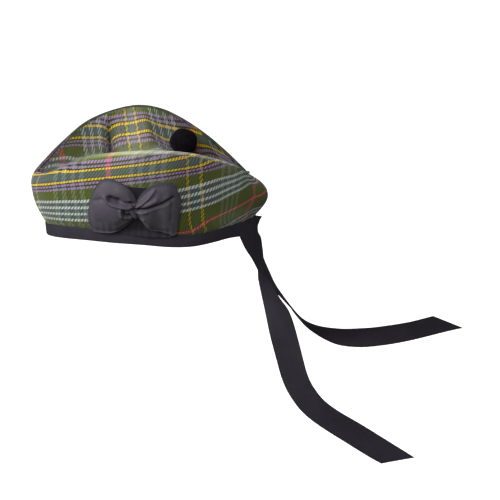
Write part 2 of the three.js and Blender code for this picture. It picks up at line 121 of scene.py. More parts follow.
def tube_faces(rings, sides, start=0):
    """Faces that join each ring of points to the next; start is the first point's number."""
    return [[ring + i, ring + (i + 1) % sides, ring + sides + (i + 1) % sides, ring + sides + i]
            for ring in range(start, start + (rings - 1) * sides, sides) for i in range(sides)]


area_lamp("front lamp", (0.75, -1.55, 1.05), (0, 0, 0.05), 0.6, 25.0)
area_lamp("side lamp", (1.5, -0.3, 1.4), (0, 0, 0.03), 0.8, 19.0)
area_lamp("far lamp", (-1.3, -0.5, 1.1), (0, 0, 0.05), 0.9, 3.0)
area_lamp("low lamp", (0.5, -1.8, 0.35), (0, 0, 0.03), 0.9, 4.0)

world = bpy.data.worlds.new("studio air")
world.use_nodes = True
air = world.node_tree.nodes["Background"].inputs
air["Color"].default_value = (1.0, 1.0, 1.0, 1.0)
air["Strength"].default_value = 0.12
bpy.context.scene.world = world
bpy.context.scene.view_settings.view_transform = "Standard"

floor_rings = [(4.0, -0.5), (6.0, -0.45), (7.3, 0.2), (8.0, 1.8), (8.2, 5.0), (6.0, 8.0)]
floor_sides = 64
floor_points = [(0.0, 0.0, floor_rings[0][1])]
floor_points += [(r * x, r * y, z) for r, z in floor_rings for x, y in circle(floor_sides)]
floor_faces = [(0, 1 + k, 1 + (k + 1) % floor_sides) for k in range(floor_sides)]
floor_faces += [face[::-1] for face in tube_faces(len(floor_rings), floor_sides, start=1)]
floor_mesh = bpy.data.meshes.new("floor")
floor_mesh.from_pydata(floor_points, [], floor_faces)
floor_mesh.shade_smooth()
floor = link_object("floor", floor_mesh)
floor.visible_diffuse = False
floor.visible_glossy = False
floor.visible_shadow = False
floor_paper = bpy.data.materials.new("pale paper")
floor_paper.use_nodes = True
floor_shader = floor_paper.node_tree.nodes["Principled BSDF"].inputs
floor_shader["Base Color"].default_value = (0.92, 0.92, 0.92, 1.0)
floor_shader["Roughness"].default_value = 0.9
floor_shader["Emission Color"].default_value = (1.0, 1.0, 1.0, 1.0)
floor_shader["Emission Strength"].default_value = 0.97
floor_mesh.materials.append(floor_paper)
print("lamps and floor are set")

# %% [markdown]
# ## Tables that turn into curves
# The cap changes shape from its front seam to its back seam. Twelve rows hold its shape at twelve
# stations, and a smooth curve through the rows gives every place between. Beyond the two seams the
# cap goes on as its own mirror image, so the curves cross the seams without a kink.
# Each row holds a spot of the rim, a spot of the ridge, how far the side swells out, how high up it
# swells most, how full the swelling is, the radius of the fold and how deep the crown is sunk.

# %% The cap in twelve rows, in millimetres
cap_columns = ("rim_x", "rim_y", "rim_z", "ridge_x", "ridge_y", "ridge_z",
               "belly", "peak", "ease", "fold", "sunk")
cap_rows = np.array([
    (0.0, -115, 0.0, 0.0, -125, 75.0, 5.5, 0.55, 0.5, 6.0, 0),
    (17.0, -109, 3.5, 28.0, -112, 82.5, 6.0, 0.55, 0.5, 6.0, 3),
    (37.0, -92, 9.5, 44.5, -93, 95.0, 6.0, 0.50, 0.5, 5.0, 10),
    (51.0, -67, 12.5, 58.0, -68, 110.5, 6.0, 0.50, 0.6, 4.0, 17),
    (61.0, -39, 13.0, 69.0, -39, 119.0, 5.0, 0.50, 0.7, 3.5, 22),
    (66.5, -9, 12.0, 75.0, -8, 122.5, 4.0, 0.50, 0.7, 3.5, 24),
    (67.5, 21, 8.5, 68.5, 20, 119.5, 4.0, 0.50, 0.8, 3.5, 24),
    (64.0, 46, 6.5, 54.0, 45, 111.0, 6.0, 0.50, 0.8, 3.5, 21),
    (54.0, 70, 6.0, 37.0, 69, 98.5, 9.0, 0.50, 0.9, 3.5, 15),
    (38.0, 92, 4.5, 19.5, 89, 85.0, 13.0, 0.50, 1.0, 3.0, 8),
    (19.5, 109, 1.0, 6.0, 104, 73.0, 16.0, 0.52, 1.1, 2.5, 3),
    (0.0, 120, -2.0, 0.0, 113.6, 64.0, 17.5, 0.54, 0.95, 2.0, 0),
])
last_row = len(cap_rows) - 1


def eased(t, low, high, slope_low, slope_high):
    """A smooth way from one value to the next that leaves and arrives with the given slopes."""
    return ((2 * t**3 - 3 * t**2 + 1) * low + (t**3 - 2 * t**2 + t) * slope_low
            + (3 * t**2 - 2 * t**3) * high + (t**3 - t**2) * slope_high)


def curve_through(values, place):
    """Smooth values at fractional places; the list starts and ends with one spare value."""
    first = np.clip(np.floor(place).astype(int), 0, len(values) - 4)
    a, b, c, d = (values[first + k] for k in range(4))
    return eased(place - first, b, c, (c - a) / 2, (d - b) / 2)


def with_spares(rows):
    """The rows with one more at each end, in line with the two rows next to it."""
    return np.vstack([2 * rows[:1] - rows[1:2], rows, 2 * rows[-1:] - rows[-2:-1]])


def cap_value(column, place):
    values = cap_rows[:, cap_columns.index(column)]
    sign = -1 if column in ("rim_x", "ridge_x") else 1
    spare = np.concatenate([[sign * values[1]], values, [sign * values[-2]]])
    return curve_through(spare, place)


print("stations from front to back:", [int(y) for y in cap_rows[:, 1]])

# %% [markdown]
# ## The side panel as a surface
# Two numbers name any spot of a side panel: the place along the cap, and the row up the cloth.
# Row 0 to 1 stands inside the binding, rows 1 to 8 are the rounded side, 8 to 11 the fold at the
# ridge and 11 to 12 the strip that runs down to the crown seam. The puckers are the small waves
# that a sewn edge pulls into wool cloth.

# %% Side panel surface
UP = np.array([0.0, 0.0, 1.0])
BAND_HEIGHT, BAND_THICKNESS, BAND_GAP = 15.0, 1.2, 0.45
CLOTH = 1.8  # thickness of the wool
clearance = 0.3  # between the raw edge of the cloth and the binding's fold
side_rows, fold_rows = 7, 3
seam_run, seam_slope = 2.5, math.radians(20)  # the strip past the fold, and how it tilts
crown_row = side_rows + fold_rows + 2 + 0.12  # the crown starts just past the last row


def plan_point(curve, place):
    return np.stack([cap_value(f"{curve}_{axis}", place) for axis in "xyz"], axis=-1)


def outward(curve, place):
    """The level direction away from the cap, square to the rim or the ridge."""
    run = plan_point(curve, place + 0.02) - plan_point(curve, place - 0.02)
    return unit(np.stack([run[..., 1], -run[..., 0], np.zeros_like(run[..., 0])], axis=-1))


def side_point(place, row):
    place, row = np.broadcast_arrays(np.asarray(place, float), np.asarray(row, float))
    rim_out, ridge_out = outward("rim", place), outward("ridge", place)
    foot = plan_point("rim", place) - rim_out * (BAND_THICKNESS + BAND_GAP)
    foot_z = BAND_THICKNESS + clearance
    leg = foot + UP * (foot_z + (BAND_HEIGHT + clearance - foot_z) * np.clip(row, 0, 1)[..., None])
    foot = foot + UP * (BAND_HEIGHT + clearance)
    radius = cap_value("fold", place)[..., None]
    fold_centre = plan_point("ridge", place) - ridge_out * radius - UP * radius
    rise = np.clip((row - 1) / side_rows, 0, 1) ** 1.25
    shift = math.log(0.5) / np.log(cap_value("peak", place))
    swell = np.sin(np.pi * np.clip(rise, 0, 1) ** shift)
    swell = np.where((rise > 0) & (rise < 1), np.abs(swell) ** cap_value("ease", place), 0)
    out = unit(rim_out * (1 - rise[..., None]) + ridge_out * rise[..., None])
    top = fold_centre + ridge_out * radius
    belly = (foot * (1 - rise[..., None]) + top * rise[..., None]
             + out * (cap_value("belly", place) * swell)[..., None])
    turned = np.clip((row - 1 - side_rows) / fold_rows, 0, 1) * (math.pi / 2 + seam_slope)
    turned = turned[..., None]
    fold = fold_centre + ridge_out * radius * np.cos(turned) + UP * radius * np.sin(turned)
    past = (np.maximum(row - 1 - side_rows - fold_rows, 0) * seam_run)[..., None]
    fold = fold - ridge_out * past * math.cos(seam_slope) - UP * past * math.sin(seam_slope)
    upper = np.where(row[..., None] <= 1 + side_rows, belly, fold)
    point = np.where(row[..., None] < 1, leg, upper)
    return point + out * side_pucker(place, row)[..., None]


def side_pucker(place, row):
    """Small waves: gathers above the binding, and slow undulation of the soft side."""
    above_band = np.exp(-((row - 1.9) / 0.8) ** 2) * (row > 1)
    gathers = 0.28 * np.sin(place * 23.0 + 1.3 * np.sin(place * 5.1)) * above_band
    rounded = np.sin(np.pi * np.clip((row - 1) / side_rows, 0, 1))
    slow = 0.45 * np.sin(place * 2.9 + row * 0.9) * np.sin(place * 1.3 - row * 0.55 + 0.7) * rounded
    return gathers + slow


print("panel widest at", np.round(side_point(5.0, 5.0), 1))

# %% [markdown]
# ## Where the threads run
# Tartan shows at once how cloth was cut and folded, so each surface carries two thread numbers: how
# far along the warp and how far along the weft a spot lies, in millimetres. They are given on a
# coarse net over the piece and smoothed between. The same numbers become the UV map of the piece.

# %% Thread numbers of the side panel and the crown
side_net_rows = np.array([0, 1, 2.5, 4.5, 6.5, 8, 9.5, 11, 12])
side_warp = np.array([
    [-174.9, -178.8, -181.1, -184.3, -187.0, -188.6, -189.1, -189.7, -190.0],
    [-161.3, -165.4, -165.2, -165.1, -164.3, -164.0, -165.1, -167.9, -169.2],
    [-140.1, -144.9, -144.2, -144.2, -143.9, -144.0, -145.5, -148.6, -150.2],
    [-115.5, -120.6, -119.0, -118.0, -116.6, -118.5, -121.5, -126.3, -128.4],
    [-87.7, -92.8, -90.1, -88.6, -88.3, -89.2, -93.3, -99.5, -102.3],
    [-57.4, -62.6, -59.1, -55.8, -52.0, -55.6, -60.4, -68.3, -72.3],
    [-26.8, -32.2, -29.0, -27.1, -25.9, -29.7, -34.4, -42.3, -46.8],
    [-1.0, -7.1, -3.4, -1.7, -1.3, -3.9, -8.3, -16.2, -20.7],
    [25.1, 16.9, 21.0, 22.7, 21.3, 16.2, 12.9, 7.7, 4.5],
    [62.3, 54.6, 70.2, 68.4, 56.1, 40.2, 34.4, 26.1, 21.8],
    [99.0, 92.9, 98.4, 94.6, 81.1, 63.0, 57.2, 48.1, 42.4],
    [121.5, 113.2, 117.3, 116.6, 103.2, 77.0, 69.8, 60.8, 56.6],
])
side_weft = np.array([
    [76.1, 60.4, 49.7, 31.7, 12.4, -1.9, -7.6, -13.4, -16.0],
    [78.6, 63.4, 53.2, 35.7, 16.2, 1.1, -5.0, -11.6, -14.5],
    [80.1, 64.7, 52.6, 34.0, 12.9, -3.8, -8.8, -13.9, -16.6],
    [81.2, 64.8, 51.9, 30.7, 7.4, -13.6, -18.0, -22.5, -25.4],
    [86.3, 69.9, 56.4, 33.0, 6.7, -16.4, -20.5, -25.0, -28.1],
    [93.1, 76.1, 61.6, 35.9, 8.8, -14.2, -18.5, -23.4, -26.8],
    [100.3, 82.0, 66.6, 40.7, 13.1, -10.4, -14.3, -18.7, -22.0],
    [107.9, 86.6, 71.4, 46.3, 19.9, -4.7, -8.1, -11.6, -14.2],
    [122.9, 100.1, 86.1, 56.4, 29.5, 6.6, 2.5, -1.7, -4.5],
    [137.3, 113.7, 100.0, 73.5, 41.3, 16.3, 12.6, 9.0, 6.1],
    [146.5, 123.6, 113.1, 89.6, 57.7, 27.2, 22.7, 17.9, 14.2],
    [153.5, 131.4, 121.2, 97.6, 72.5, 37.0, 29.8, 24.0, 20.0],
])
crown_net_across = np.array([-1, -2 / 3, -1 / 3, 0, 1 / 3, 2 / 3, 1])
crown_warp = np.array([
    [-119.5, -118.2, -117.1, -116.6, -117.2, -118.5, -119.9],
    [-96.6, -99.3, -102.0, -102.8, -100.1, -95.6, -90.3],
    [-80.5, -82.5, -84.4, -85.7, -82.9, -76.2, -65.6],
    [-54.0, -57.4, -58.4, -61.1, -58.1, -46.6, -31.3],
    [-21.3, -22.6, -23.2, -24.8, -23.5, -14.5, 3.5],
    [12.8, 9.1, 6.4, 4.1, 6.7, 17.9, 37.6],
    [47.7, 42.2, 38.7, 33.3, 35.6, 48.1, 68.3],
    [75.2, 69.4, 67.5, 64.4, 70.0, 82.7, 101.5],
    [107.1, 99.8, 96.1, 93.3, 99.7, 113.0, 132.5],
    [142.3, 125.1, 114.9, 111.3, 118.0, 132.5, 154.4],
    [168.6, 145.5, 130.8, 124.9, 131.2, 146.7, 170.9],
    [181.2, 155.8, 139.7, 133.4, 140.3, 157.1, 183.1],
])
crown_weft = np.array([
    [43.3, 42.9, 42.5, 42.2, 42.2, 42.3, 42.5],
    [26.7, 31.5, 35.6, 38.8, 41.0, 42.3, 43.3],
    [9.1, 19.6, 28.1, 33.5, 36.7, 39.4, 42.9],
    [-8.1, 4.2, 15.3, 23.8, 30.0, 37.7, 46.4],
    [-18.0, -3.3, 11.4, 20.0, 29.1, 40.0, 52.8],
    [-20.9, -5.3, 10.0, 20.3, 30.2, 41.5, 54.0],
    [-19.7, -5.0, 7.8, 18.8, 28.9, 39.6, 50.3],
    [-12.4, -1.8, 7.9, 17.4, 26.1, 34.9, 43.8],
    [-4.4, 7.1, 13.5, 18.5, 23.8, 29.2, 34.5],
    [4.2, 10.1, 14.9, 18.1, 20.0, 21.4, 22.3],
    [9.0, 12.9, 15.3, 16.4, 16.0, 14.8, 12.6],
    [7.7, 11.5, 14.1, 15.4, 15.1, 13.5, 10.8],
])


def net_value(net, net_rows, place, row):
    """Smooth value of a net: along the cap first, then between the uneven rows."""
    spare = with_spares(net)
    lines = np.stack([curve_through(spare[:, k], place) for k in range(net.shape[1])], axis=-1)
    slopes = np.gradient(lines, net_rows, axis=-1)
    k = np.clip(np.searchsorted(net_rows, row, side="right") - 1, 0, len(net_rows) - 2)
    gap = net_rows[k + 1] - net_rows[k]

    def pick(values, at):
        return np.take_along_axis(values, at[..., None], axis=-1)[..., 0]

    return eased((row - net_rows[k]) / gap, pick(lines, k), pick(lines, k + 1),
                 pick(slopes, k) * gap, pick(slopes, k + 1) * gap)


def thread_numbers(warp_net, weft_net, net_rows, place, row):
    return np.stack([net_value(warp_net, net_rows, place, row),
                     -net_value(weft_net, net_rows, place, row)], axis=-1)


print("warp threads span", side_warp.min(), "to", side_warp.max(), "mm on a side panel")

# %% [markdown]
# ## From two grids of points to a sheet with thickness
# Cloth has two faces. Each piece is made of an outer grid and an inner grid of points, joined round
# their edges into one closed mesh. A Solidify modifier could add the thickness, but working out
# both faces keeps the seam edges where the neighbouring piece expects them.

# %% Mesh helpers
MM = 0.001


def ramp(value, start, end):
    """0 at the start and before it, 1 at the end and past it, and an even rise between."""
    return np.clip((value - start) / (end - start), 0, 1)


def bell(value, width):
    """1 at zero, falling away smoothly on both sides within about the width."""
    return np.exp(-(value / width) ** 2)


def distance_along(points):
    """How far each point of a line lies from the first one, measured along the line."""
    return np.concatenate([[0], np.cumsum(np.linalg.norm(np.diff(points, axis=0), axis=1))])


def grid_normals(points, check=None):
    """Directions square to a grid. At check (row, column, axis) they point the positive way."""
    normals = unit(np.cross(np.gradient(points, axis=0), np.gradient(points, axis=1)))
    return -normals if check and normals[check] < 0 else normals


def quads_of_grid(rows, columns, start):
    r, c = np.meshgrid(np.arange(rows - 1), np.arange(columns - 1), indexing="ij")
    spot = start + r * columns + c
    return np.stack([spot, spot + 1, spot + columns + 1, spot + columns], axis=-1).reshape(-1, 4)


def mesh_piece(name, points, faces, uv, material):
    """A smooth-shaded object from points in millimetres, turned so that its faces look outwards.

    uv holds two thread numbers for each point, or for each corner of each face."""
    corners = points[faces]
    volume = np.einsum("ij,ij->i", corners[:, 0], np.cross(corners[:, 1], corners[:, 2])).sum()
    volume += np.einsum("ij,ij->i", corners[:, 0], np.cross(corners[:, 2], corners[:, 3])).sum()
    corner_uv = uv[faces] if uv.ndim == 2 else uv
    if volume < 0:
        faces, corner_uv = faces[:, ::-1], corner_uv[:, ::-1]
    mesh = bpy.data.meshes.new(name)
    mesh.from_pydata((points * MM).tolist(), [], faces.tolist())
    layer = mesh.uv_layers.new(name="threads")
    layer.data.foreach_set("uv", (corner_uv * MM).astype(np.float32).reshape(-1))
    mesh.shade_smooth()
    mesh.set_sharp_from_angle(angle=math.radians(50))
    mesh.materials.append(material)
    return link_object(name, mesh)


def sheet_piece(name, outer, inner, threads, material):
    """A closed sheet between two equal grids; threads holds the two thread numbers of each spot."""
    rows, columns = outer.shape[:2]
    half = rows * columns
    spots = np.arange(half).reshape(rows, columns)
    edge = np.concatenate([spots[0], spots[1:, -1], spots[-1, -2::-1], spots[-2:0:-1, 0]])
    after = np.roll(edge, -1)
    faces = [quads_of_grid(rows, columns, 0), quads_of_grid(rows, columns, half)[:, ::-1],
             np.stack([edge, edge + half, after + half, after], axis=-1)]
    points = np.concatenate([outer.reshape(-1, 3), inner.reshape(-1, 3)])
    uv = np.concatenate([threads.reshape(-1, 2)] * 2)
    return mesh_piece(name, points, np.concatenate(faces), uv, material)


def cloth_area(piece):
    """Area of one face of the cloth, in square metres."""
    return sum(face.area for face in piece.data.polygons) / 2


print("one unit in the tables is", MM, "m")

# %% [markdown]
# ## Short ways to write a material
# A material is a net of nodes, which gets long when every node takes four lines. These helpers make
# and join a node in one call, so that a finish reads like a recipe. Colours are written as red,
# green and blue from 0 to 255 and turned into the light values that the shader needs.

# %% Node helpers
def linear(colour):
    """A colour written as red, green and blue from 0 to 255, as light values for a shader."""
    parts = [c / 255 for c in colour]
    light = (c / 12.92 if c <= 0.04045 else ((c + 0.055) / 1.055) ** 2.4 for c in parts)
    return (*light, 1.0)


class Finish:
    """A new material with short ways to add and join its nodes."""

    def __init__(self, name):
        self.material = bpy.data.materials.new(name)
        self.material.use_nodes = True
        self.nodes = self.material.node_tree.nodes
        self.shader = self.nodes["Principled BSDF"]

    def put(self, socket, value):
        if isinstance(value, bpy.types.NodeSocket):
            self.material.node_tree.links.new(value, socket)
        else:
            socket.default_value = value

    def set(self, **values):
        for label, value in values.items():
            self.put(self.shader.inputs[label.replace("_", " ")], value)

    def threads(self):
        where = self.nodes.new("ShaderNodeUVMap")
        where.uv_map = "threads"
        split = self.nodes.new("ShaderNodeSeparateXYZ")
        self.put(split.inputs[0], where.outputs[0])
        return where.outputs[0], split.outputs[0], split.outputs[1]

    def maths(self, operation, *values):
        node = self.nodes.new("ShaderNodeMath")
        node.operation = operation
        for socket, value in zip(node.inputs, values):
            self.put(socket, value)
        return node.outputs[0]

    def plus(self, total, *others):
        for other in others:
            total = self.maths("ADD", total, other)
        return total

    def times(self, product, *others):
        for other in others:
            product = self.maths("MULTIPLY", product, other)
        return product

    def ribs(self, number, spacing):
        """Round ribs across a thread number: 0 between two ribs and 1 on top of each."""
        wave = self.maths("SINE", self.times(number, math.pi / spacing))
        return self.maths("ABSOLUTE", wave)

    def noise(self, where, scale, detail):
        node = self.nodes.new("ShaderNodeTexNoise")
        node.noise_dimensions = "3D"
        self.put(node.inputs["Vector"], where)
        for label, value in (("Scale", scale), ("Detail", detail), ("Roughness", 0.6)):
            node.inputs[label].default_value = value
        return node.outputs["Fac"]

    def patches(self, where, scale, detail, low, high):
        """Noise spread between two strengths."""
        node = self.nodes.new("ShaderNodeMapRange")
        self.put(node.inputs["Value"], self.noise(where, scale, detail))
        limits = {"From Min": 0.25, "From Max": 0.75, "To Min": low, "To Max": high}
        for label, number in limits.items():
            node.inputs[label].default_value = number
        return node.outputs[0]

    def mix(self, share, first, second):
        node = self.nodes.new("ShaderNodeMix")
        node.data_type = "RGBA"
        for index, value in ((0, share), (6, first), (7, second)):
            self.put(node.inputs[index], value)
        return node.outputs[2]

    def shade(self, colour, strength):
        """The colour made lighter or darker by a strength round 1."""
        node = self.nodes.new("ShaderNodeVectorMath")
        node.operation = "SCALE"
        self.put(node.inputs[0], colour if isinstance(colour, bpy.types.NodeSocket) else colour[:3])
        self.put(node.inputs["Scale"], strength)
        return node.outputs[0]

    def bump(self, height, depth, strength):
        node = self.nodes.new("ShaderNodeBump")
        node.inputs["Strength"].default_value = strength
        node.inputs["Distance"].default_value = depth
        self.put(node.inputs["Height"], height)
        self.put(self.shader.inputs["Normal"], node.outputs[0])


print("white thread as light:", [round(c, 3) for c in linear((205, 212, 206))])

# %% [markdown]
# ## Tartan as a recipe of stripes
# Tartan is woven from two rows of coloured threads, the sett, that mirror at both ends. In a twill
# each thread passes over two and under two others, one step further on every row, which gives fine
# diagonal lines and mixes the two colours where unlike stripes cross. An image could be painted on,
# but a recipe stays sharp at any distance: the thread numbers pick a colour from each sett, and a
# diagonal test picks whichever thread lies on top. The crown and the sides have their own colour
# tables, and the crown's colours are painted darker overall as shade.

# %% The sett
weft_colours = {
    "green": (88, 98, 34), "dark": (46, 46, 14), "slate": (88, 102, 106),
    "white": (204, 212, 204), "purple": (158, 132, 172), "yellow": (240, 204, 66),
    "pink": (250, 84, 116), "plum": (58, 46, 58),
}
side_warp_colours = dict(
    weft_colours, white=(136, 148, 124), slate=(74, 88, 70), purple=(90, 82, 66), plum=(74, 70, 50),
    yellow=(222, 188, 56), pink=(240, 88, 118))
crown_weft_colours = dict(
    weft_colours, green=(90, 100, 20), slate=(86, 98, 94), purple=(166, 138, 174),
    yellow=(250, 208, 46))
crown_warp_colours = dict(
    crown_weft_colours, white=(226, 232, 220), slate=(126, 138, 130), purple=(128, 116, 96),
    plum=(80, 70, 54), yellow=(255, 222, 44))
warp_stripes = [
    (0.0, "slate"), (4.0, "dark"), (4.5, "yellow"), (7.4, "dark"), (8.4, "purple"),
    (11.9, "plum"), (12.9, "purple"), (16.8, "green"), (28.3, "white"), (33.1, "slate"),
    (38.0, "white"), (43.0, "slate"), (48.8, "white"), (53.8, "slate"), (58.7, "white"),
    (63.5, "green"), (85.4, "pink"),
]
weft_stripes = [
    (0.0, "slate"), (4.0, "dark"), (4.6, "yellow"), (6.9, "dark"), (8.6, "purple"),
    (11.0, "plum"), (12.9, "purple"), (15.4, "green"), (27.0, "white"), (30.3, "slate"),
    (34.8, "white"), (38.1, "slate"), (42.6, "white"), (45.9, "slate"), (50.4, "white"),
    (53.7, "green"), (77.3, "pink"),
]
warp_repeat, weft_repeat = 88.5, 79.0
thread_pitch = 0.82
twill_steepness = 0.6
print("threads from mirror to mirror:", int(warp_repeat / thread_pitch), "by",
      int(weft_repeat / thread_pitch))

# %% [markdown]
# ## The tartan finish
# The weft lies flat and the warp stands up where the diagonal lifts it, with a little of the weft
# showing through; the lying weft is painted lighter and the standing warp darker, as light and
# shade on the threads. The rounded threads give the height for the relief and darken the hollows
# between them. A number stored on each piece paints light along a ridge, with a pale colour mixed
# in, or, below zero, paints shade, as on the right ridge and in the crown's crease.

# %% Make the tartan finish
# The lying weft is painted lighter and the standing warp darker, as light and shade on the thread
# floats; show_through is the share of weft that shows through the warp.
lying_painted_light, standing_painted_shade, show_through = 1.12, 0.85, 0.22
# Painted highlight and shade: how much of a pale colour the painted highlight mixes into lying and
# standing threads, how strongly the stored number lightens or darkens, and the pale colour itself.
highlight_mix_lying, highlight_mix_standing = 0.52, 0.12
painted_light_gain = 1.1
painted_highlight_colour = linear((200, 204, 176))


def sett_colour(finish, number, stripes, repeat, colours):
    ramp = finish.nodes.new("ShaderNodeValToRGB")
    ramp.color_ramp.interpolation = "CONSTANT"
    marks = ramp.color_ramp.elements
    marks.remove(marks[1])
    for index, (start, colour) in enumerate(stripes):
        mark = marks[0] if index == 0 else marks.new(start / repeat)
        mark.color = linear(colours[colour])
    folded = finish.maths("PINGPONG", number, repeat * MM)
    finish.put(ramp.inputs[0], finish.maths("DIVIDE", folded, repeat * MM))
    return ramp.outputs[0]


def tartan_finish(name, pitch, warp_share, lying_colours, standing_colours, painted_shade_scale):
    finish = Finish(name)
    where, warp, weft = finish.threads()
    warp_thread = finish.maths("DIVIDE", warp, pitch * MM)
    weft_thread = finish.maths("DIVIDE", weft, pitch * MM)
    wander = finish.times(finish.noise(where, 900.0, 1.0), 0.5)
    slanting = finish.maths("SUBTRACT", warp_thread, finish.times(weft_thread, twill_steepness))
    step = finish.maths("FRACT", finish.maths("DIVIDE", finish.plus(slanting, wander), 4.0))
    on_top = finish.maths("LESS_THAN", step, warp_share)
    lying = finish.shade(sett_colour(finish, weft, weft_stripes, weft_repeat, lying_colours),
                         lying_painted_light * painted_shade_scale)
    standing = finish.shade(sett_colour(finish, warp, warp_stripes, warp_repeat, standing_colours),
                            standing_painted_shade * painted_shade_scale)
    colour = finish.mix(on_top, lying, finish.mix(show_through, standing, lying))
    # Painted light and shade stored on each piece: above zero it mixes in the pale colour and
    # lightens, below zero it darkens.
    stored = finish.nodes.new("ShaderNodeAttribute")
    stored.attribute_name = "painted_light_and_shade"
    painted_light_and_shade = stored.outputs["Fac"]
    highlight_mix = finish.maths("SUBTRACT", highlight_mix_lying,
                          finish.times(on_top, highlight_mix_lying - highlight_mix_standing))
    colour = finish.mix(finish.times(painted_light_and_shade, highlight_mix), colour, painted_highlight_colour)
    colour = finish.shade(colour, finish.plus(finish.times(painted_light_and_shade, painted_light_gain), 1.0))
    height = finish.plus(finish.times(finish.ribs(warp_thread, 1.0), finish.ribs(weft_thread, 1.0)),
                         finish.times(finish.ribs(step, 0.5), 1.2))
    strength = finish.times(finish.patches(where, 1500.0, 2.0, 0.80, 1.20),
                            finish.patches(where, 28.0, 3.0, 0.90, 1.10),
                            finish.plus(finish.times(height, 0.14), 0.80))
    finish.set(Base_Color=finish.shade(colour, strength), Roughness=0.92, Sheen_Weight=0.35,
               Sheen_Roughness=0.40, Specular_IOR_Level=0.2)
    fuzz = finish.noise(where, 2600.0, 2.0)
    finish.bump(finish.plus(height, fuzz), 0.00018, 0.6)
    return finish.material


tartan = tartan_finish("tartan wool twill", thread_pitch * 1.05, 0.46,
                       weft_colours, side_warp_colours, 1.0)
# The crown's colours are scaled to 0.74 as painted shade.
crown_tartan = tartan_finish("tartan wool twill of the crown", thread_pitch, 0.5,
                             crown_weft_colours, crown_warp_colours, 0.74)
print("finishes made:", tartan.name, "and", crown_tartan.name)

# %% [markdown]
# ## Side panels
# The left panel is the surface itself and the right panel its mirror image. Close to the front and
# back seams the cloth dips a little, as it does where two edges are sewn and turned in. At the back
# the ridge runs down to the seam in a straight line. The left ridge is painted pale as a highlight,
# and the right one is painted darker at its edge as shade, where the cloth turns away from the
# light.
# On the left side, patches are also painted darker or lighter as shade and light.

# %% Make the side panels
side_places = np.linspace(0, last_row, 265)
side_levels = np.concatenate([np.linspace(0, 1, 5)[:-1], np.linspace(1, 8, 64)[:-1],
                              np.linspace(8, 11, 15)[:-1], np.linspace(11, 12, 4)])
place_grid, row_grid = np.meshgrid(side_places, side_levels, indexing="ij")
left_outer = side_point(place_grid, row_grid)
left_normals = grid_normals(left_outer, check=(130, 30, 0))
dip_depth, dip_reach = 1.1, 2.2
seam_dip = dip_depth * bell(left_outer[..., 0], dip_reach) * (row_grid > 1)
left_outer = left_outer - left_normals * seam_dip[..., None]
back_start, back_end, back_height = 104.0, 114.5, 72.9
back_y, back_z = left_outer[..., 1], left_outer[..., 2]
left_outer[..., 2] = np.where((back_y > back_start) & (back_y < back_end),
                              np.minimum(back_z, back_height - (back_y - back_start)), back_z)
left_inner = left_outer - left_normals * CLOTH
side_threads = thread_numbers(side_warp, side_weft, side_net_rows, place_grid, row_grid)
# Painted highlight along the left ridge: a narrow band and a wider one, faded in and out along the
# cap.
ridge_row, narrow_band, wide_band, wide_painted_highlight = 9.2, 0.9, 3.5, 0.22
ridge_start, ridge_end = (-78, -18), (106, 94)
# Patches of painted shade (below zero) and painted light (above zero) on the left side.
side_painted_patches = [  # strength, from where to where along the cap, and up the rows
    (-0.16, (10, 50), (3.2, 4.7)), (0.28, (60, 100), (4.6, 2.6)),
]
seam_clearance, seam_overlap = 0.03, 0.02


def mark_painted_light_and_shade(piece, amount):
    """Store the painted light or shade of each spot, the same on both faces of the cloth."""
    stored = piece.data.attributes.new("painted_light_and_shade", "FLOAT", "POINT")
    stored.data.foreach_set("value", np.tile(amount.reshape(-1), 2))


def side_panel(name, side, ridge_paint):
    """side is 1 for the left panel and -1 for the right; the last number is painted light along the
    ridge above zero and painted shade below zero.
    """
    grids = []
    for grid in (left_outer, left_inner):
        grid = grid.copy()
        grid[..., 0] = side * np.maximum(grid[..., 0], seam_clearance)
        grid[[0, -1], :, 0] = -seam_overlap * side
        grids.append(grid)
    piece = sheet_piece(name, grids[0], grids[1], side_threads * [side, 1], tartan)
    # Painted highlight along the left ridge and painted shade along the right one, fading with the
    # distance below the ridge.
    below_ridge = np.maximum(ridge_row - row_grid, 0)
    side_painting = ridge_paint * bell(below_ridge, narrow_band)
    if ridge_paint > 0:
        y = left_outer[..., 1]
        side_painting = side_painting + wide_painted_highlight * bell(below_ridge, wide_band)
        side_painting = side_painting * ramp(y, *ridge_start) * ramp(y, *ridge_end)
        for strength, along, up in side_painted_patches:
            side_painting = side_painting + strength * ramp(y, *along) * ramp(row_grid, *up)
    mark_painted_light_and_shade(piece, side_painting * (row_grid > 1))
    return piece


# Painted highlight on the left ridge, painted shade on the right one.
left_side = side_panel("left_side_cloth", 1, 0.9)
right_side = side_panel("right_side_cloth", -1, -0.55)
print("one side panel holds", round(cloth_area(left_side) * 1e4), "square centimetres of cloth")

# %% [markdown]
# ## The crown
# The crown is one oval of the same cloth, sewn to the two folded edges and pushed down between
# them. A sharp dip with a crease in it crosses the crown in front, a raised fold in the middle and
# a shallow dip behind, which is how the cap falls open after it has been stored flat. The crease is
# painted dark as shade; painted shade also darkens the front end and the cloth behind the middle
# fold, and painted light makes the rise in front of it pale.

# %% Make the crown
crown_folds = [
    {"name": "front dip", "right_y": -42, "left_y": -36, "height": -6.5, "reach": 13},
    {"name": "front crease", "right_y": -42, "left_y": -36, "height": -6.0, "reach": 4.5},
    {"name": "middle fold", "right_y": -4, "left_y": 22, "height": 6.0, "reach": 19},
    {"name": "back dip", "right_y": 62, "left_y": 58, "height": -3.0, "reach": 14},
]
crown_end_half_width = 3.5
# Painted light and shade along the crown: places back along the cap, each with how much lighter
# (above zero) or darker (below zero) the cloth is painted.
crown_painted_light_by_place = [(-90, -0.42), (-65, -0.36), (-48, -0.10), (-30, 0.18), (-15, 0.32), (0, 0.20),
              (12, -0.18), (24, -0.32), (45, -0.28), (80, -0.26)]
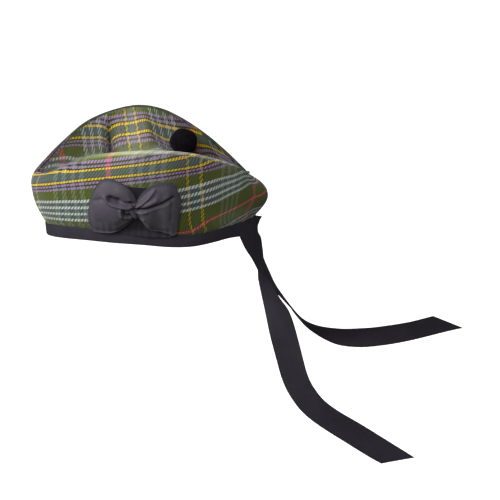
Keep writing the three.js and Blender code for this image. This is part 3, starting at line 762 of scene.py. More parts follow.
# Painted shade in the front crease, and how wide it spreads.
crease_painted_shade, crease_width = 0.75, 4.0


def fold_line(fold, across):
    """How far back a fold runs, from its right end at across -1 to its left end at 1."""
    return fold["right_y"] + (fold["left_y"] - fold["right_y"]) * (across + 1) / 2


def crown_point(place, across):
    seam = side_point(place, crown_row)
    y = seam[..., 1]
    height = np.zeros_like(y)
    for fold in crown_folds:
        off = np.minimum(np.sqrt((y - fold_line(fold, across)) ** 2 + 0.6) / fold["reach"], 1)
        height += fold["height"] * (1 - off) * (1 - off * off)
    height *= 1 - np.abs(across) ** 3
    slow = 0.5 * np.sin(y * 0.11 + across * 2.1) * np.sin(across * 4.0 + y * 0.05) * (1 - across**2)
    gather = 0.25 * np.sin(y * 1.15 + 2 * np.sin(y * 0.2)) * bell(1 - np.abs(across), 0.10)
    sunk = cap_value("sunk", place) * (1 - np.abs(across) ** 1.6)
    z = seam[..., 2] - sunk + height + slow + gather
    return np.stack([seam[..., 0] * across, y, z], axis=-1)


crown_ends = [np.interp(crown_end_half_width, side_point(end, crown_row)[:, 0], end)
              for end in (np.linspace(0, 2, 81), np.linspace(last_row, last_row - 2, 81))]
crown_places = np.linspace(crown_ends[0], crown_ends[1], 230)
crown_across = np.cos(np.pi * np.linspace(0, 1, 97))
along_grid, across_grid = np.meshgrid(crown_places, crown_across, indexing="ij")
crown_outer = crown_point(along_grid, across_grid)
crown_inner = crown_outer - grid_normals(crown_outer, check=(110, 48, 2)) * CLOTH
crown_threads = thread_numbers(crown_warp, crown_weft, crown_net_across, along_grid, across_grid)
crown = sheet_piece("crown_cloth", crown_outer, crown_inner, crown_threads, crown_tartan)
# The crown's painted light and shade, with the crease painted darker still.
crown_y = crown_outer[..., 1]
crown_painted_light_and_shade = np.interp(crown_y, *zip(*crown_painted_light_by_place))
crown_painted_light_and_shade -= (crease_painted_shade * bell(crown_y - fold_line(crown_folds[1], across_grid), crease_width)
                 * np.sqrt(1 - across_grid**2))
mark_painted_light_and_shade(crown, crown_painted_light_and_shade)
print("the crown holds", round(cloth_area(crown) * 1e4), "square centimetres of cloth")

# %% [markdown]
# ## Ribbon finishes
# The binding, the tails and the bow are plain ribbon: fine cross ribs, a firm edge, and a soft
# sheen that turns the black a little violet where light grazes it. One recipe serves them all, with
# its own colour, rib spacing, gloss, sheen and width. The ribs are too fine to be modelled, so they
# are bump. The bow's hems are turned under, so its finish is too wide for the firm edge to show.

# %% Ribbon recipe
firm_edge = 1.3
no_edge = 400.0


def ribbon_finish(name, colour, rib, gloss, sheen, width):
    finish = Finish(name)
    where, along, across = finish.threads()
    ribs, warp = finish.ribs(along, rib * MM), finish.ribs(across, 0.5 * MM)
    from_middle = finish.maths("ABSOLUTE", finish.maths("SUBTRACT", across, width * MM / 2))
    edge = finish.maths("GREATER_THAN", from_middle, (width / 2 - firm_edge) * MM)
    strength = finish.times(finish.patches(where, 700.0, 2.0, 0.88, 1.12),
                            finish.patches(where, 45.0, 3.0, 0.86, 1.14),
                            finish.plus(finish.times(ribs, 0.16), 0.88),
                            finish.maths("SUBTRACT", 1.0, finish.times(edge, 0.22)))
    finish.set(Base_Color=finish.shade(linear(colour), strength), Sheen_Weight=sheen,
               Sheen_Roughness=0.35, Sheen_Tint=linear((205, 190, 220)), Specular_IOR_Level=0.2,
               Roughness=finish.patches(where, 60.0, 2.0, gloss - 0.06, gloss + 0.06))
    height = finish.plus(ribs, finish.times(warp, 0.35),
                         finish.times(finish.noise(where, 1800.0, 2.0), 0.6))
    finish.bump(height, 0.00010, 0.5)
    return finish.material


binding_ribbon = ribbon_finish("binding ribbon", (56, 53, 62), 0.9, 0.66, 0.05, 30.0)
tail_ribbon = ribbon_finish("tail ribbon", (58, 54, 64), 0.8, 0.68, 0.01, 32.0)
bow_ribbon = ribbon_finish("bow ribbon", (87, 82, 92), 0.7, 0.6, 0.07, no_edge)
# The backing's ribbon is a darker copy of the bow's, painted shade for where it lies back behind
# the loops.
backing_ribbon = ribbon_finish("backing ribbon", (50, 47, 55), 0.7, 0.64, 0.04, no_edge)
print("ribbon finishes for the binding, the tails, the bow and its backing are made")

# %% [markdown]
# ## The binding
# One ribbon is folded round the raw edge of the head opening: a tall leg shows outside, a shorter
# one holds the inside. Its cut through is drawn once and carried round the rim. The ribbon is eased
# round the curve, so it leans in and out a little, and towards the back its foot hangs lower.

# %% Make the binding
band_steps = 480
wave_sizes = [(0.22, 38), (0.16, 15)]
sag_depth, sag_middle, sag_reach = 2.8, 104.0, 13.0


def binding_outline():
    """Out and up of the binding's cut through, from the outside top edge round and back to it."""
    t, depth = BAND_THICKNESS, CLOTH + 0.2 + 2 * BAND_GAP + 2 * BAND_THICKNESS
    outside = [(-0.35, BAND_HEIGHT - 0.05), (0, BAND_HEIGHT - 0.5)]
    outside += [(0.25 * math.sin(h), BAND_HEIGHT * (1 - h / math.pi) * 0.82 + 2.2)
                for h in np.linspace(0.4, 2.8, 7)]
    bottom = [(-depth / 2 + depth / 2 * math.cos(a), 1.9 - 1.9 * math.sin(a))
              for a in np.radians(np.linspace(0, 180, 13))]
    inside = [(-depth, 6.0), (-depth, 9.6), (-depth + 0.3, 10.0), (-depth + t - 0.2, 9.9),
              (-depth + t, 9.4)]
    hollow = [(-depth + t, 2.8), (-depth + t + 0.6, 1.5), (-t - 0.6, 1.5), (-t, 2.8),
              (-t, BAND_HEIGHT - 0.4), (-t + 0.25, BAND_HEIGHT - 0.05)]
    return np.array(outside + bottom + inside + hollow)


outline = binding_outline()
ring = len(outline)
outline_out, outline_up = outline.T
round_place = 2 * last_row * np.arange(band_steps) / band_steps
on_left = round_place <= last_row
band_place = np.where(on_left, round_place, 2 * last_row - round_place)
band_side = np.where(on_left, 1.0, -1.0)
band_foot, band_out = plan_point("rim", band_place), outward("rim", band_place)
along_rim = distance_along(band_foot * np.stack([band_side, band_side**2, band_side**2], axis=1))
rim_length = along_rim[-1] + along_rim[1]
round_rim = along_rim * 2 * math.pi / rim_length
wave = sum(size * np.sin(round_rim * count) for size, count in wave_sizes)
leaning = outline_out + wave[:, None] * np.clip(outline_up / BAND_HEIGHT, 0, 1) ** 2
band_points = (band_foot[:, None, :] + band_out[:, None, :] * leaning[..., None]
               + UP * outline_up[None, :, None])
band_points[..., 0] *= band_side[:, None]
sag = sag_depth * bell(band_foot[:, 1] - sag_middle, sag_reach)
band_points[..., 2] -= sag[:, None] * np.clip(1 - outline_up / BAND_HEIGHT, 0, 1)
r, c = np.meshgrid(np.arange(band_steps), np.arange(ring), indexing="ij")
next_r, next_c = (r + 1) % band_steps, (c + 1) % ring
band_faces = np.stack([r * ring + c, r * ring + next_c,
                       next_r * ring + next_c, next_r * ring + c], -1)
across_band = distance_along(outline)
along_ends = np.append(along_rim, rim_length)
across_ends = np.append(across_band, across_band[-1] + 0.5)
band_uv = np.stack([np.stack([along_ends[r + i], across_ends[c + j]], -1)
                    for i, j in ((0, 0), (0, 1), (1, 1), (1, 0))], 2)
binding = mesh_piece("binding", band_points.reshape(-1, 3), band_faces.reshape(-1, 4),
                     band_uv.reshape(-1, 4, 2), binding_ribbon)

# %% [markdown]
# ## Ribbon tails
# Each tail is a flat ribbon that runs down from the back of the binding, twists and floats away.
# A table gives the middle of the ribbon and how far it is turned about its own run. A simulation
# would let it hang straight, so the shape is set by the table, with a slight hollow across it.

# %% Tail tables, in millimetres and degrees
TAIL_WIDTH = 32.0
lower_tail_rows = np.array([
    (21.5, 107.9, 10, -46), (18.2, 112.2, -6, -56), (13, 116.7, -22, -72), (8, 121.3, -38, -80),
    (6, 123.6, -48, -90), (6, 129.8, -68, -116), (7, 136.5, -89, -127), (8, 145, -111, -149),
    (8, 152.5, -142, -168), (8, 160, -174, -170), (8, 166, -198, -168), (8, 174, -218, -167),
    (8, 188.7, -241, -169), (8, 209.2, -261, -174), (8, 238.7, -284, -181),
    (8, 269.6, -308, -179), (8, 288.2, -322, -174),
])
upper_tail_rows = np.array([
    (-13.2, 124.5, -1.7, -72), (-13.4, 123.6, -7.7, -78.6), (-13.4, 122.6, -13.1, -81.4),
    (-13.4, 122.4, -18, -81.7), (-13.2, 122.8, -22.5, -80.8), (-12.4, 124.3, -28, -76.8),
    (-11.2, 125.1, -34, -75.9), (-10, 125.8, -42, -76.5), (-9, 129.2, -55, -84),
    (-12, 137.1, -73.5, -87), (-13, 145.6, -90, -92), (-13, 162.4, -113.6, -99),
    (-12, 175.6, -130, -111), (-10, 194, -144, -133), (-8, 220.6, -155, -157),
    (-8, 245, -158.5, -165), (-8, 268.3, -157.8, -164), (-8, 302.4, -153, -164),
    (-8, 336.9, -145.4, -166),
])
lower_cut, upper_cut, upper_tuck = 28, 34, 15
print("rows in the tail tables:", len(lower_tail_rows), "and", len(upper_tail_rows))

# %% [markdown]
# The ribbon is laid across the middle line at the turn that the table gives. Its end is cut on the
# slant, so one edge runs on further than the other. The upper tail starts tucked up under the rim.

# %% Make the tails
slant_reach, tuck_reach = 40.0, 20.0
tail_ripple, tail_hollow, half_ribbon = 0.8, -0.9, 0.35


def tail_piece(name, rows, tuck, cut_length, long_edge):
    """long_edge is True if the last edge across the ribbon runs on, and False for the first."""
    spare = with_spares(rows)
    places = np.linspace(0, len(rows) - 1, 281)

    def spot(place):
        return np.stack([curve_through(spare[:, k], place) for k in range(3)], axis=-1)

    middle = spot(places)
    run = unit(spot(places + 0.02) - spot(places - 0.02))
    rise = unit(np.cross([1.0, 0, 0], run))
    depth = np.cross(run, rise)
    turn = np.radians(curve_through(spare[:, 3], places))[:, None]
    width = rise * np.cos(turn) + depth * np.sin(turn)
    face = np.cross(width, run)
    share = np.linspace(0, 1, 15)
    length = distance_along(middle)
    points = middle[:, None, :] + width[:, None, :] * (TAIL_WIDTH * (share - 0.5))[None, :, None]
    cut = cut_length * (share if long_edge else 1 - share)
    slant = ramp(length, length[-1] - slant_reach, length[-1])[:, None] * cut
    points = points + run[:, None, :] * slant[..., None]
    points[..., 2] += ramp(length, tuck_reach, 0)[:, None] * tuck * (1 - share)
    fade = (np.clip(length / 60, 0, 1) * np.clip((length[-1] + 15 - length) / 60, 0, 1))[:, None]
    hollow = tail_hollow * (1 - (2 * share - 1) ** 2)
    waves = tail_ripple * np.sin(length[:, None] * 0.045 + share * 2.2)
    points = points + face[:, None, :] * ((hollow + waves) * fade)[..., None]
    normal = grid_normals(points)
    threads = np.stack(np.broadcast_arrays(length[:, None] + slant, share * TAIL_WIDTH), axis=-1)
    piece = sheet_piece(name, points + normal * half_ribbon, points - normal * half_ribbon,
                        threads, tail_ribbon)
    print(name, "is", round(length[-1]), "mm to the cut, which runs on for", cut_length, "mm")
    return piece, length[-1]


lower_tail, lower_length = tail_piece("tail_lower_ribbon", lower_tail_rows, 0, lower_cut, False)
upper_tail, upper_length = tail_piece("tail_upper_ribbon", upper_tail_rows, upper_tuck,
                                      upper_cut, True)

# %% [markdown]
# ## The bow on the left side
# The bow is ribbon too: a flat backing and two loops pulled together by a twisted knot. All of them
# lie on the left panel, so a helper first finds the spot of the panel behind any place of the bow.

# %% Places on the left side of the cap
def on_left_side(y, z, out):
    """The spot over the left panel at a given distance back and height, moved out along X."""
    y, z = np.broadcast_arrays(np.asarray(y, float), np.asarray(z, float))
    level = np.maximum(z, 31.0)
    place, row, h = np.full(y.shape, 5.0), np.full(y.shape, 4.0), 0.02
    for _ in range(10):
        here = side_point(place, row)
        per_place = (side_point(place + h, row) - here) / h
        per_row = (side_point(place, row + h) - here) / h
        spread = per_place[..., 1] * per_row[..., 2] - per_place[..., 2] * per_row[..., 1]
        miss_y, miss_z = y - here[..., 1], level - here[..., 2]
        place = place + (miss_y * per_row[..., 2] - miss_z * per_row[..., 1]) / spread
        row = row + (miss_z * per_place[..., 1] - miss_y * per_place[..., 2]) / spread
        row = np.clip(row, 1.2, 7.9)
    return np.stack([side_point(place, row)[..., 0] + out, y, z], axis=-1)


knot_y, knot_z = -16.5, 56.0
print("the bow's knot stands at", np.round(on_left_side(knot_y, knot_z, 0.0), 1))

# %% [markdown]
# What makes the bow read as ribbon is its folds, so each loop is first a smooth puffed loop and
# then gets folds from a table: ridges stand up, creases and hollows sink in, each along its own
# short line. An entry gives a height, a width and the places back and up on the line's way.

# %% Folds as short lines in height
left_loop_folds = [
    (3.8, 1.8, [(-45.2, 74.9), (-40.7, 69.8), (-35.3, 67.3), (-29.1, 65.5), (-21.2, 64.0),
                (-14.1, 65.5)]),
    (-8.0, 3.3, [(-38.5, 73.6), (-31.3, 71.2)]),
    (-3.6, 2.2, [(-31.0, 70.4), (-20.0, 68.0)]),
    (2.0, 3.6, [(-30.3, 82.8), (-20.6, 77.6), (-17.1, 72.3)]),
    (-3.6, 1.5, [(-18.5, 69.5), (-13.0, 63.0)]),
    (-1.8, 2.4, [(-56.8, 68.5), (-46.2, 73.0)]),
    (-5.0, 1.6, [(-26.2, 60.0), (-24.9, 53.8), (-17.7, 54.6), (-13.6, 58.0)]),
    (2.4, 1.5, [(-29.2, 60.5), (-28.3, 53.5), (-21.0, 49.8), (-16.0, 50.5)]),
    (1.2, 8.0, [(-50.0, 60.0), (-36.0, 47.0)]),
    (1.8, 2.4, [(-34.0, 36.5), (-26.5, 41.5), (-17.5, 48.0)]),
    (-1.0, 3.0, [(-52.0, 44.0), (-44.0, 34.0)]),
]
right_loop_folds = [
    (4.8, 1.4, [(-16.5, 61.5), (-14.1, 63.7), (-7.6, 68.5), (-0.3, 74.4), (7.0, 82.2)]),
    (-5.2, 1.7, [(-13.0, 60.4), (-8.7, 61.6), (-3.1, 62.4), (2.5, 63.7), (10.6, 65.6),
                (15.4, 66.8), (25.1, 71.1)]),
    (-4.0, 2.4, [(-12.5, 69.0), (-6.0, 74.5), (2.0, 82.0)]),
    (2.4, 2.6, [(-6.0, 65.6), (8.0, 71.5)]),
    (3.4, 1.6, [(-17.6, 57.5), (-14.6, 52.8), (-10.8, 48.9), (-6.0, 48.8)]),
    (-4.0, 1.5, [(-15.6, 48.8), (-10.9, 44.9), (-6.8, 46.8)]),
    (2.6, 1.8, [(-16.0, 58.2), (-10.0, 58.5), (-2.0, 59.8)]),
    (2.8, 4.2, [(-6.5, 56.0), (-4.4, 49.8), (-0.4, 38.9)]),
    (-2.2, 5.0, [(9.0, 58.0), (12.0, 42.0)]),
    (-1.2, 2.0, [(24.5, 66.0), (23.0, 46.0)]),
    (-1.2, 3.0, [(10.0, 84.0), (16.0, 76.0)]),
]


def fold_relief(y, z, folds):
    relief = np.zeros(np.broadcast(y, z).shape)
    for height, width, line in folds:
        nearest = np.full(relief.shape, 1e9)
        for (y0, z0), (y1, z1) in zip(line[:-1], line[1:]):
            reach = (y1 - y0) ** 2 + (z1 - z0) ** 2
            t = np.clip(((y - y0) * (y1 - y0) + (z - z0) * (z1 - z0)) / reach, 0, 1)
            away = (y - y0 - t * (y1 - y0)) ** 2 + (z - z0 - t * (z1 - z0)) ** 2
            nearest = np.minimum(nearest, away)
        relief += height * np.exp(-nearest / width**2)
    return relief


print(len(left_loop_folds), "folds on the left loop and", len(right_loop_folds), "on the right one")

# %% [markdown]
# A loop is one ribbon that goes out from the knot, bends round at its end and comes back along the
# cap. Its rows give the distance from the knot, the top, the foot and how far it stands off.

# %% Make the loops
left_loop_rows = np.array([
    (-3.6, 14.5, 8.5, 2.0), (-2.0, 20.0, -1.0, 3.5), (0.5, 24.0, -8.5, 5.0),
    (4.0, 28.2, -13.0, 7.0), (9.5, 32.5, -18.6, 8.5), (16.0, 35.3, -24.2, 9.5),
    (22.6, 37.3, -27.3, 9.5), (28.0, 36.6, -28.2, 9.0), (34.9, 30.6, -28.4, 7.5),
    (39.8, 23.1, -28.4, 5.5), (43.1, 14.7, -27.8, 3.5), (45.6, 3.0, -23.5, 2.0),
    (46.8, -6.0, -19.0, 1.6),
])
right_loop_rows = np.array([
    (1.5, 5.0, -1.5, 3.0), (3.2, 9.4, -3.5, 4.5), (5.9, 15.7, -7.5, 6.0),
    (11.7, 22.6, -16.5, 8.0), (17.4, 27.1, -22.8, 9.5), (22.0, 29.3, -23.5, 9.0),
    (27.8, 30.9, -25.0, 8.5), (36.6, 31.7, -28.2, 7.0), (42.0, 30.5, -31.0, 5.0),
    (45.5, 27.0, -27.0, 3.4), (48.3, 18.0, -10.0, 2.0), (49.6, 13.0, -2.0, 1.6),
])
loop_back, loop_least, half_bow_ribbon, stitch_stand = 1.6, 2.7, 0.4, 0.55


def loop_piece(name, rows, direction, folds):
    """direction is -1 for the loop towards the cap's front and 1 for the one towards its back."""
    spare, last = with_spares(rows), len(rows) - 1
    share = np.linspace(0, 1, 72)[None, :]

    def columns(place):
        return [curve_through(spare[:, k], place)[:, None] for k in range(4)]

    run, top, foot, lift = columns(np.linspace(0, last, 110))
    y = knot_y + direction * run + 0 * share
    z = knot_z + foot + (top - foot) * share
    round_edge = np.sin(np.pi * np.clip(share, 0.03, 0.97)) ** 0.55
    flat_end = np.clip((run[-1] - run) / 6.0, 0.0, 1.0) ** 0.6
    relief = fold_relief(y, z, folds) * flat_end * np.clip(round_edge * 1.6 - 0.4, 0, 1)
    stand = np.maximum(3.0 + lift * round_edge + relief, loop_least)
    turn = np.radians(np.linspace(20, 160, 6))[:, None]
    end_run, end = run[-1] + 0.9 * np.sin(turn), stand[-1:]
    end_out = (end + loop_back) / 2 + (end - loop_back) / 2 * np.cos(turn)
    run_back, top_back, foot_back, _ = columns(np.linspace(last, 0, 34))
    runs = np.vstack([run, end_run, run_back]) + 0 * share
    outs = np.vstack([stand, end_out + 0 * share, loop_back + 0 * (run_back + share)])
    tops = np.vstack([top, np.full_like(end_run, rows[-1, 1]), top_back])
    feet = np.vstack([foot, np.full_like(end_run, rows[-1, 2]), foot_back])
    heights = knot_z + feet + (tops - feet) * share
    middle = on_left_side(knot_y + direction * runs, heights, outs)
    normal = grid_normals(middle, check=(40, 36, 0))
    length = distance_along(middle[:, 36])
    threads = np.stack(np.broadcast_arrays(length[:, None], 60 + (heights - knot_z)), axis=-1)
    piece = sheet_piece(name, middle + normal * half_bow_ribbon, middle - normal * half_bow_ribbon,
                        threads, bow_ribbon)
    return piece, length[-1], middle + normal * stitch_stand


left_loop, left_loop_length, left_loop_face = loop_piece(
    "bow_front_loop", left_loop_rows, -1, left_loop_folds)
right_loop, right_loop_length, right_loop_face = loop_piece(
    "bow_back_loop", right_loop_rows, 1, right_loop_folds)
print("ribbon in the loops:", round(left_loop_length), "and", round(right_loop_length), "mm")

# %% [markdown]
# The backing is one flat piece that lies close to the cap, with a slow wave and a lifted foot. Its
# rows give the distance back, the foot and the top.

# %% Make the backing
backing_rows = np.array([
    (-58, 30.5, 72), (-50, 29, 80), (-34.5, 27.5, 84.5), (-26, 26, 85), (-20, 25.2, 84.9),
    (-8.5, 24.0, 83.2), (1.2, 23.3, 82), (10, 22.4, 82), (17.4, 21.9, 82), (22, 22.2, 82),
    (26, 27, 80),
])
backing_spare = with_spares(backing_rows)
backing_place = np.linspace(0, len(backing_rows) - 1, 90)
backing_y, backing_foot, backing_top = (
    curve_through(backing_spare[:, k], backing_place)[:, None] for k in range(3))
backing_share = np.linspace(0, 1, 60)[None, :]
backing_z = backing_foot + (backing_top - backing_foot) * backing_share
backing_wave = (0.5 + 0.35 * (1 + np.sin(backing_y * 0.16 + backing_z * 0.07))
                + ramp(backing_share, 0.12, 0))
backing_front = on_left_side(backing_y, backing_z, backing_wave + 0.7)
backing_back = on_left_side(backing_y, backing_z, backing_wave)
backing_threads = np.stack(np.broadcast_arrays(backing_y + 80, backing_z + 40), axis=-1)
backing = sheet_piece("bow_backing", backing_front, backing_back, backing_threads, backing_ribbon)
print("the backing covers", round(cloth_area(backing) * 1e4), "square centimetres")

# %% [markdown]
# ## The knot
# The middle of the bow is a turn of ribbon pulled tight. It is a small rounded body with slanting
# pleats, made from a fine ball whose surface is pushed in and out along the pleats.

# %% Make the knot
def shaped_ball(name, shape, material):
    """A fine ball of radius 1 whose points are moved by a shape function, in millimetres."""
    form = bmesh.new()
    bmesh.ops.create_icosphere(form, subdivisions=5, radius=1.0)
    mesh = bpy.data.meshes.new(name)
    form.to_mesh(mesh)
    form.free()
    points = shape(np.array([v.co[:] for v in mesh.vertices]))
    mesh.vertices.foreach_set("co", (points * MM).reshape(-1))
    mesh.shade_smooth()
    mesh.materials.append(material)
    print(name, "is", np.round(np.ptp(points, axis=0), 1), "mm")
    return link_object(name, mesh), points


def knot_shape(ball):
    slant = ball[:, 2] * 1.2 + ball[:, 1] * 0.9
    pleats = 1 + 0.10 * np.sin(slant * 7.5) - 0.16 * bell(slant - 0.35, 0.12)
    pleats = pleats - 0.14 * bell(slant + 0.55, 0.12)
    points = ball * pleats[:, None] * np.array([2.6, 2.8, 7.2])
    points[:, 1] -= 0.55 * points[:, 2]
    return points + on_left_side(knot_y - 0.5, knot_z + 1.5, 8.6)


knot, knot_points = shaped_ball("bow_knot_wrap", knot_shape, bow_ribbon)
knot_corners = knot_points[[loop.vertex_index for loop in knot.data.loops]]
knot_threads = np.stack([knot_corners[:, 2], knot_corners[:, 1] + 100], axis=-1)
knot.data.uv_layers.new(name="threads").data.foreach_set("uv", (knot_threads * MM).reshape(-1))

# %% [markdown]
# ## The toorie
# The tuft on the crown is a ball of clipped wool. A plain ball with a bump would have a smooth
# outline, so a firm core carries a few thousand short tapered locks. They are one low-poly lock
# repeated by Geometry Nodes with a fixed seed, each a little different in length and lean.

# %% Helpers for Geometry Nodes
class Recipe:
    """A Geometry Nodes tree with short ways to add and join its nodes."""

    def __init__(self, name, **named_inputs):
        self.tree = bpy.data.node_groups.new(name, "GeometryNodeTree")
        self.identifiers = {}
        self.add_socket("Geometry", "INPUT", "Geometry")
        for label, kind in named_inputs.items():
            socket = self.add_socket(label.replace("_", " "), "INPUT", kind)
            self.identifiers[label] = socket.identifier
        self.add_socket("Geometry", "OUTPUT", "Geometry")
        self.start = self.tree.nodes.new("NodeGroupInput")
        self.end = self.tree.nodes.new("NodeGroupOutput")

    def add_socket(self, label, way, kind):
        return self.tree.interface.new_socket(label, in_out=way, socket_type="NodeSocket" + kind)

    def node(self, kind, settings=(), **values):
        node = self.tree.nodes.new(kind)
        for label, value in dict(settings).items():
            setattr(node, label, value)
        for label, value in values.items():
            socket = node.inputs[label.replace("_", " ")]
            if isinstance(value, bpy.types.NodeSocket):
                self.tree.links.new(value, socket)
            else:
                socket.default_value = value
        return node

    def repeat(self, shape, points, finish, keep_start=False, **placing):
        """End the recipe with a copy of the shape on every point, as real mesh in one finish."""
        found = self.node("GeometryNodeObjectInfo", {"transform_space": "ORIGINAL"}, Object=shape)
        placed = self.node("GeometryNodeInstanceOnPoints", Points=points,
                           Instance=found.outputs["Geometry"], **placing)
        made = self.node("GeometryNodeRealizeInstances", Geometry=placed.outputs[0])
        if keep_start:
            joined = self.node("GeometryNodeJoinGeometry")
            for part in (self.start.outputs["Geometry"], made.outputs[0]):
                self.tree.links.new(part, joined.inputs[0])
            made = joined
        painted = self.node("GeometryNodeSetMaterial", Geometry=made.outputs[0], Material=finish)
        self.tree.links.new(painted.outputs[0], self.end.inputs[0])

    def make(self, name, start_piece, **values):
        """Run the recipe on a piece and keep only the mesh it makes."""
        modifier = start_piece.modifiers.new("recipe", "NODES")
        modifier.node_group = self.tree
        for label, value in values.items():
            modifier[self.identifiers[label]] = value
        depsgraph = bpy.context.evaluated_depsgraph_get()
        mesh = bpy.data.meshes.new_from_object(start_piece.evaluated_get(depsgraph))
        mesh.name = name
        piece = link_object(name, mesh)
        start_piece.modifiers.remove(modifier)
        return piece


def plain_piece(name, points, faces, material):
    mesh = bpy.data.meshes.new(name)
    mesh.from_pydata((np.array(points) * MM).tolist(), [], faces)
    mesh.shade_smooth()
    mesh.materials.append(material)
    return link_object(name, mesh)


print("recipe helpers are ready")

# %% [markdown]
# Wool is nearly black and takes hardly any shine. The core is a ball with soft lumps, so that the
# toorie does not look turned on a lathe.

# %% Make the wool and the core
wool_finish = Finish("black wool")
wool_place = wool_finish.nodes.new("ShaderNodeTexCoord").outputs["Object"]
wool_shade = wool_finish.patches(wool_place, 260.0, 2.0, 0.7, 1.3)
wool_finish.set(Base_Color=wool_finish.shade(linear((21, 18, 24)), wool_shade), Roughness=0.95,
                Sheen_Weight=0.05, Sheen_Roughness=0.5, Specular_IOR_Level=0.1)
wool = wool_finish.material
toorie_middle = np.array([0.0, 40.3, 103.9])
toorie_shape = np.array([13.6, 14.6, 13.4])
core_share = 0.88


def core_shape(ball):
    lumps = 1 + 0.05 * np.sin(ball @ [4.1, 2.3, 1.7] + 0.6) + 0.04 * np.sin(ball @ [-2.2, 5.3, 3.1])
    return ball * lumps[:, None] * toorie_shape * core_share + toorie_middle


core, _ = shaped_ball("toorie_core", core_shape, wool)

# %% [markdown]
# The recipe scatters spots over the core, stands a lock upright on each, leans it by a random turn
# and gives it a random size.

# %% Grow the locks
lock_points = [(0.62 * x, 0.62 * y, -0.8) for x, y in circle(4)]
lock_points += [(0.5 * x + 0.15, 0.5 * y, 1.2) for x, y in circle(4)] + [(0.5, 0, 2.4)]
lock_faces = tube_faces(2, 4) + [[4 + i, 4 + (i + 1) % 4, 8] for i in range(4)] + [[3, 2, 1, 0]]
lock = plain_piece("lock", lock_points, lock_faces, wool)
fleece = Recipe("fleece", Lock="Object", Density="Float", Shortest="Float", Longest="Float",
                Lean="Float", Seed="Int", Finish="Material")
take = fleece.start.outputs
spots = fleece.node("GeometryNodeDistributePointsOnFaces", Mesh=take["Geometry"],
                    Density=take["Density"], Seed=take["Seed"])
upright = fleece.node("FunctionNodeAlignEulerToVector", {"axis": "Z"},
                      Vector=spots.outputs["Normal"])
lean_limits = []
for limit in ((-1.0, -1.0, -6.0), (1.0, 1.0, 6.0)):
    scaled = fleece.node("ShaderNodeVectorMath", {"operation": "SCALE"}, Scale=take["Lean"])
    scaled.inputs[0].default_value = limit
    lean_limits.append(scaled.outputs[0])
lean = fleece.node("FunctionNodeRandomValue", {"data_type": "FLOAT_VECTOR"},
                   Min=lean_limits[0], Max=lean_limits[1], Seed=take["Seed"])
turned = fleece.node("FunctionNodeRotateEuler", {"space": "LOCAL"},
                     Rotation=upright.outputs[0], Rotate_By=lean.outputs[0])
size = fleece.node("FunctionNodeRandomValue", {"data_type": "FLOAT"}, Seed=7)
fleece.tree.links.new(take["Shortest"], size.inputs[2])
fleece.tree.links.new(take["Longest"], size.inputs[3])
fleece.repeat(take["Lock"], spots.outputs["Points"], take["Finish"], keep_start=True,
              Rotation=turned.outputs[0], Scale=size.outputs[1])
toorie = fleece.make("toorie_locks", core, Lock=lock, Density=2.4e6, Shortest=0.75, Longest=1.25,
                     Lean=0.45, Seed=11, Finish=wool)
for helper in (core, lock):
    bpy.data.objects.remove(helper)
print("the toorie has", len(toorie.data.polygons), "faces")

# %% [markdown]
# ## Stitches
# A row of thread holds the binding to the cloth along its top edge, and another closes the cut ends
# of the bow's ribbon. A line of mesh edges gives the path, and one small rounded stitch is repeated
# along it, so the spacing is a single number.

# %% Stitch recipe
stitch_sides = 5
stitch_rings = [(-0.5, 0.25), (-0.36, 0.85), (0.0, 1.0), (0.36, 0.85), (0.5, 0.25)]
stitch_faces = (len(stitch_rings) - 1) * stitch_sides + 2


def stitch_points(length, radius):
    """Points and faces of one stitch, a short thread with rounded ends that lies along Z."""
    points = [(radius * w * x, radius * w * y, length * z)
              for z, w in stitch_rings for x, y in circle(stitch_sides)]
    first = list(range(stitch_sides))
    last = [len(points) - stitch_sides + i for i in first]
    return points, tube_faces(len(stitch_rings), stitch_sides) + [first[::-1], last]


thread_finish = Finish("sewing thread")
thread_finish.set(Base_Color=linear((34, 32, 38)), Roughness=0.6, Sheen_Weight=0.1,
                  Specular_IOR_Level=0.4)
thread_black = thread_finish.material
sewing = Recipe("sewing", Stitch="Object", Spacing="Float", Finish="Material")
take = sewing.start.outputs
path = sewing.node("GeometryNodeMeshToCurve", Mesh=take["Geometry"])
dots = sewing.node("GeometryNodeCurveToPoints", {"mode": "LENGTH"}, Curve=path.outputs[0],
                   Length=take["Spacing"])
aim = sewing.node("FunctionNodeAlignEulerToVector", {"axis": "Z"}, Vector=dots.outputs["Tangent"])
sewing.repeat(take["Stitch"], dots.outputs["Points"], take["Finish"], Rotation=aim.outputs[0])


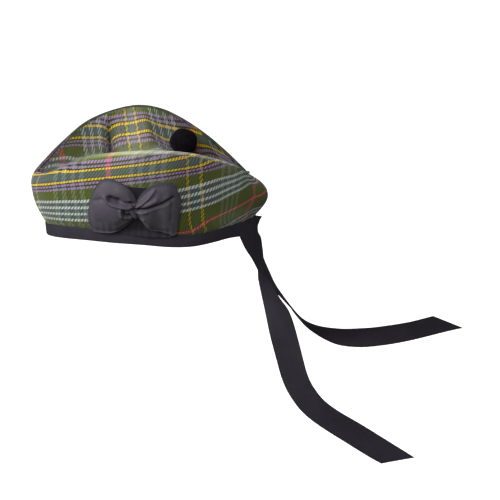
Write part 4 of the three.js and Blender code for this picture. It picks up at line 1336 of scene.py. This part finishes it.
def stitch_row(name, points, length, radius, spacing):
    line = bpy.data.meshes.new(name + "_path")
    line.from_pydata((points * MM).tolist(), [(i, i + 1) for i in range(len(points) - 1)], [])
    path_piece = link_object(name + "_path", line)
    one_stitch = plain_piece("stitch", *stitch_points(length, radius), thread_black)
    piece = sewing.make(name, path_piece, Stitch=one_stitch, Spacing=spacing * MM,
                        Finish=thread_black)
    piece.data.shade_smooth()
    for helper in (path_piece, one_stitch):
        bpy.data.objects.remove(helper)
    return piece


print("one stitch has", stitch_faces, "faces")

# %% [markdown]
# The binding's stitches run just below its top edge. The bow's run along the open end and the top
# edge of each loop.

# %% Sew
below_top = 1.6
seam_line = band_foot + band_out * (wave + 0.05)[:, None] + UP * (BAND_HEIGHT - below_top)
seam_line[:, 0] *= band_side
seam_line = np.vstack([seam_line, seam_line[:1]])
binding_stitches = stitch_row("binding_stitches", seam_line, 2.2, 0.28, 3.4)
bow_lines = [left_loop_face[100, 5:67], left_loop_face[72:104, 68],
             right_loop_face[100, 5:67], right_loop_face[60:104, 68]]
bow_stitches = [stitch_row("bow_stitches_" + str(k + 1), line, 2.4, 0.3, 4.2)
                for k, line in enumerate(bow_lines)]
print("stitches along the binding:", len(binding_stitches.data.polygons) // stitch_faces)

# %% [markdown]
# ## The pieces in their places
# Each piece is attached to the body that carries it, and the plain form it stands for is hidden.
# The table also says which finish slot each piece uses. The faces of each piece and the area of one
# face are printed.

everything = {
    left_side: ("left_side", "tartan"), right_side: ("right_side", "tartan"),
    crown: ("crown", "tartan"), binding: ("head_band", "binding"),
    lower_tail: ("tail_lower", "tails"), upper_tail: ("tail_upper", "tails"),
    backing: ("cockade_backing", "cockade"), left_loop: ("cockade_front_loop", "cockade"),
    right_loop: ("cockade_back_loop", "cockade"), knot: ("cockade_knot", "cockade"),
    toorie: ("toorie", "wool"), binding_stitches: (None, "binding"),
}
everything.update({piece: (None, "cockade") for piece in bow_stitches})
for piece, (solid_name, slot_name) in everything.items():
    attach(piece, "root")
    if solid_name:
        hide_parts(solid_name)
for piece in everything:
    face_area = round(cloth_area(piece) * 1e4, 1)
    print(piece.name, len(piece.data.polygons), "faces,", face_area, "square centimetres a face")
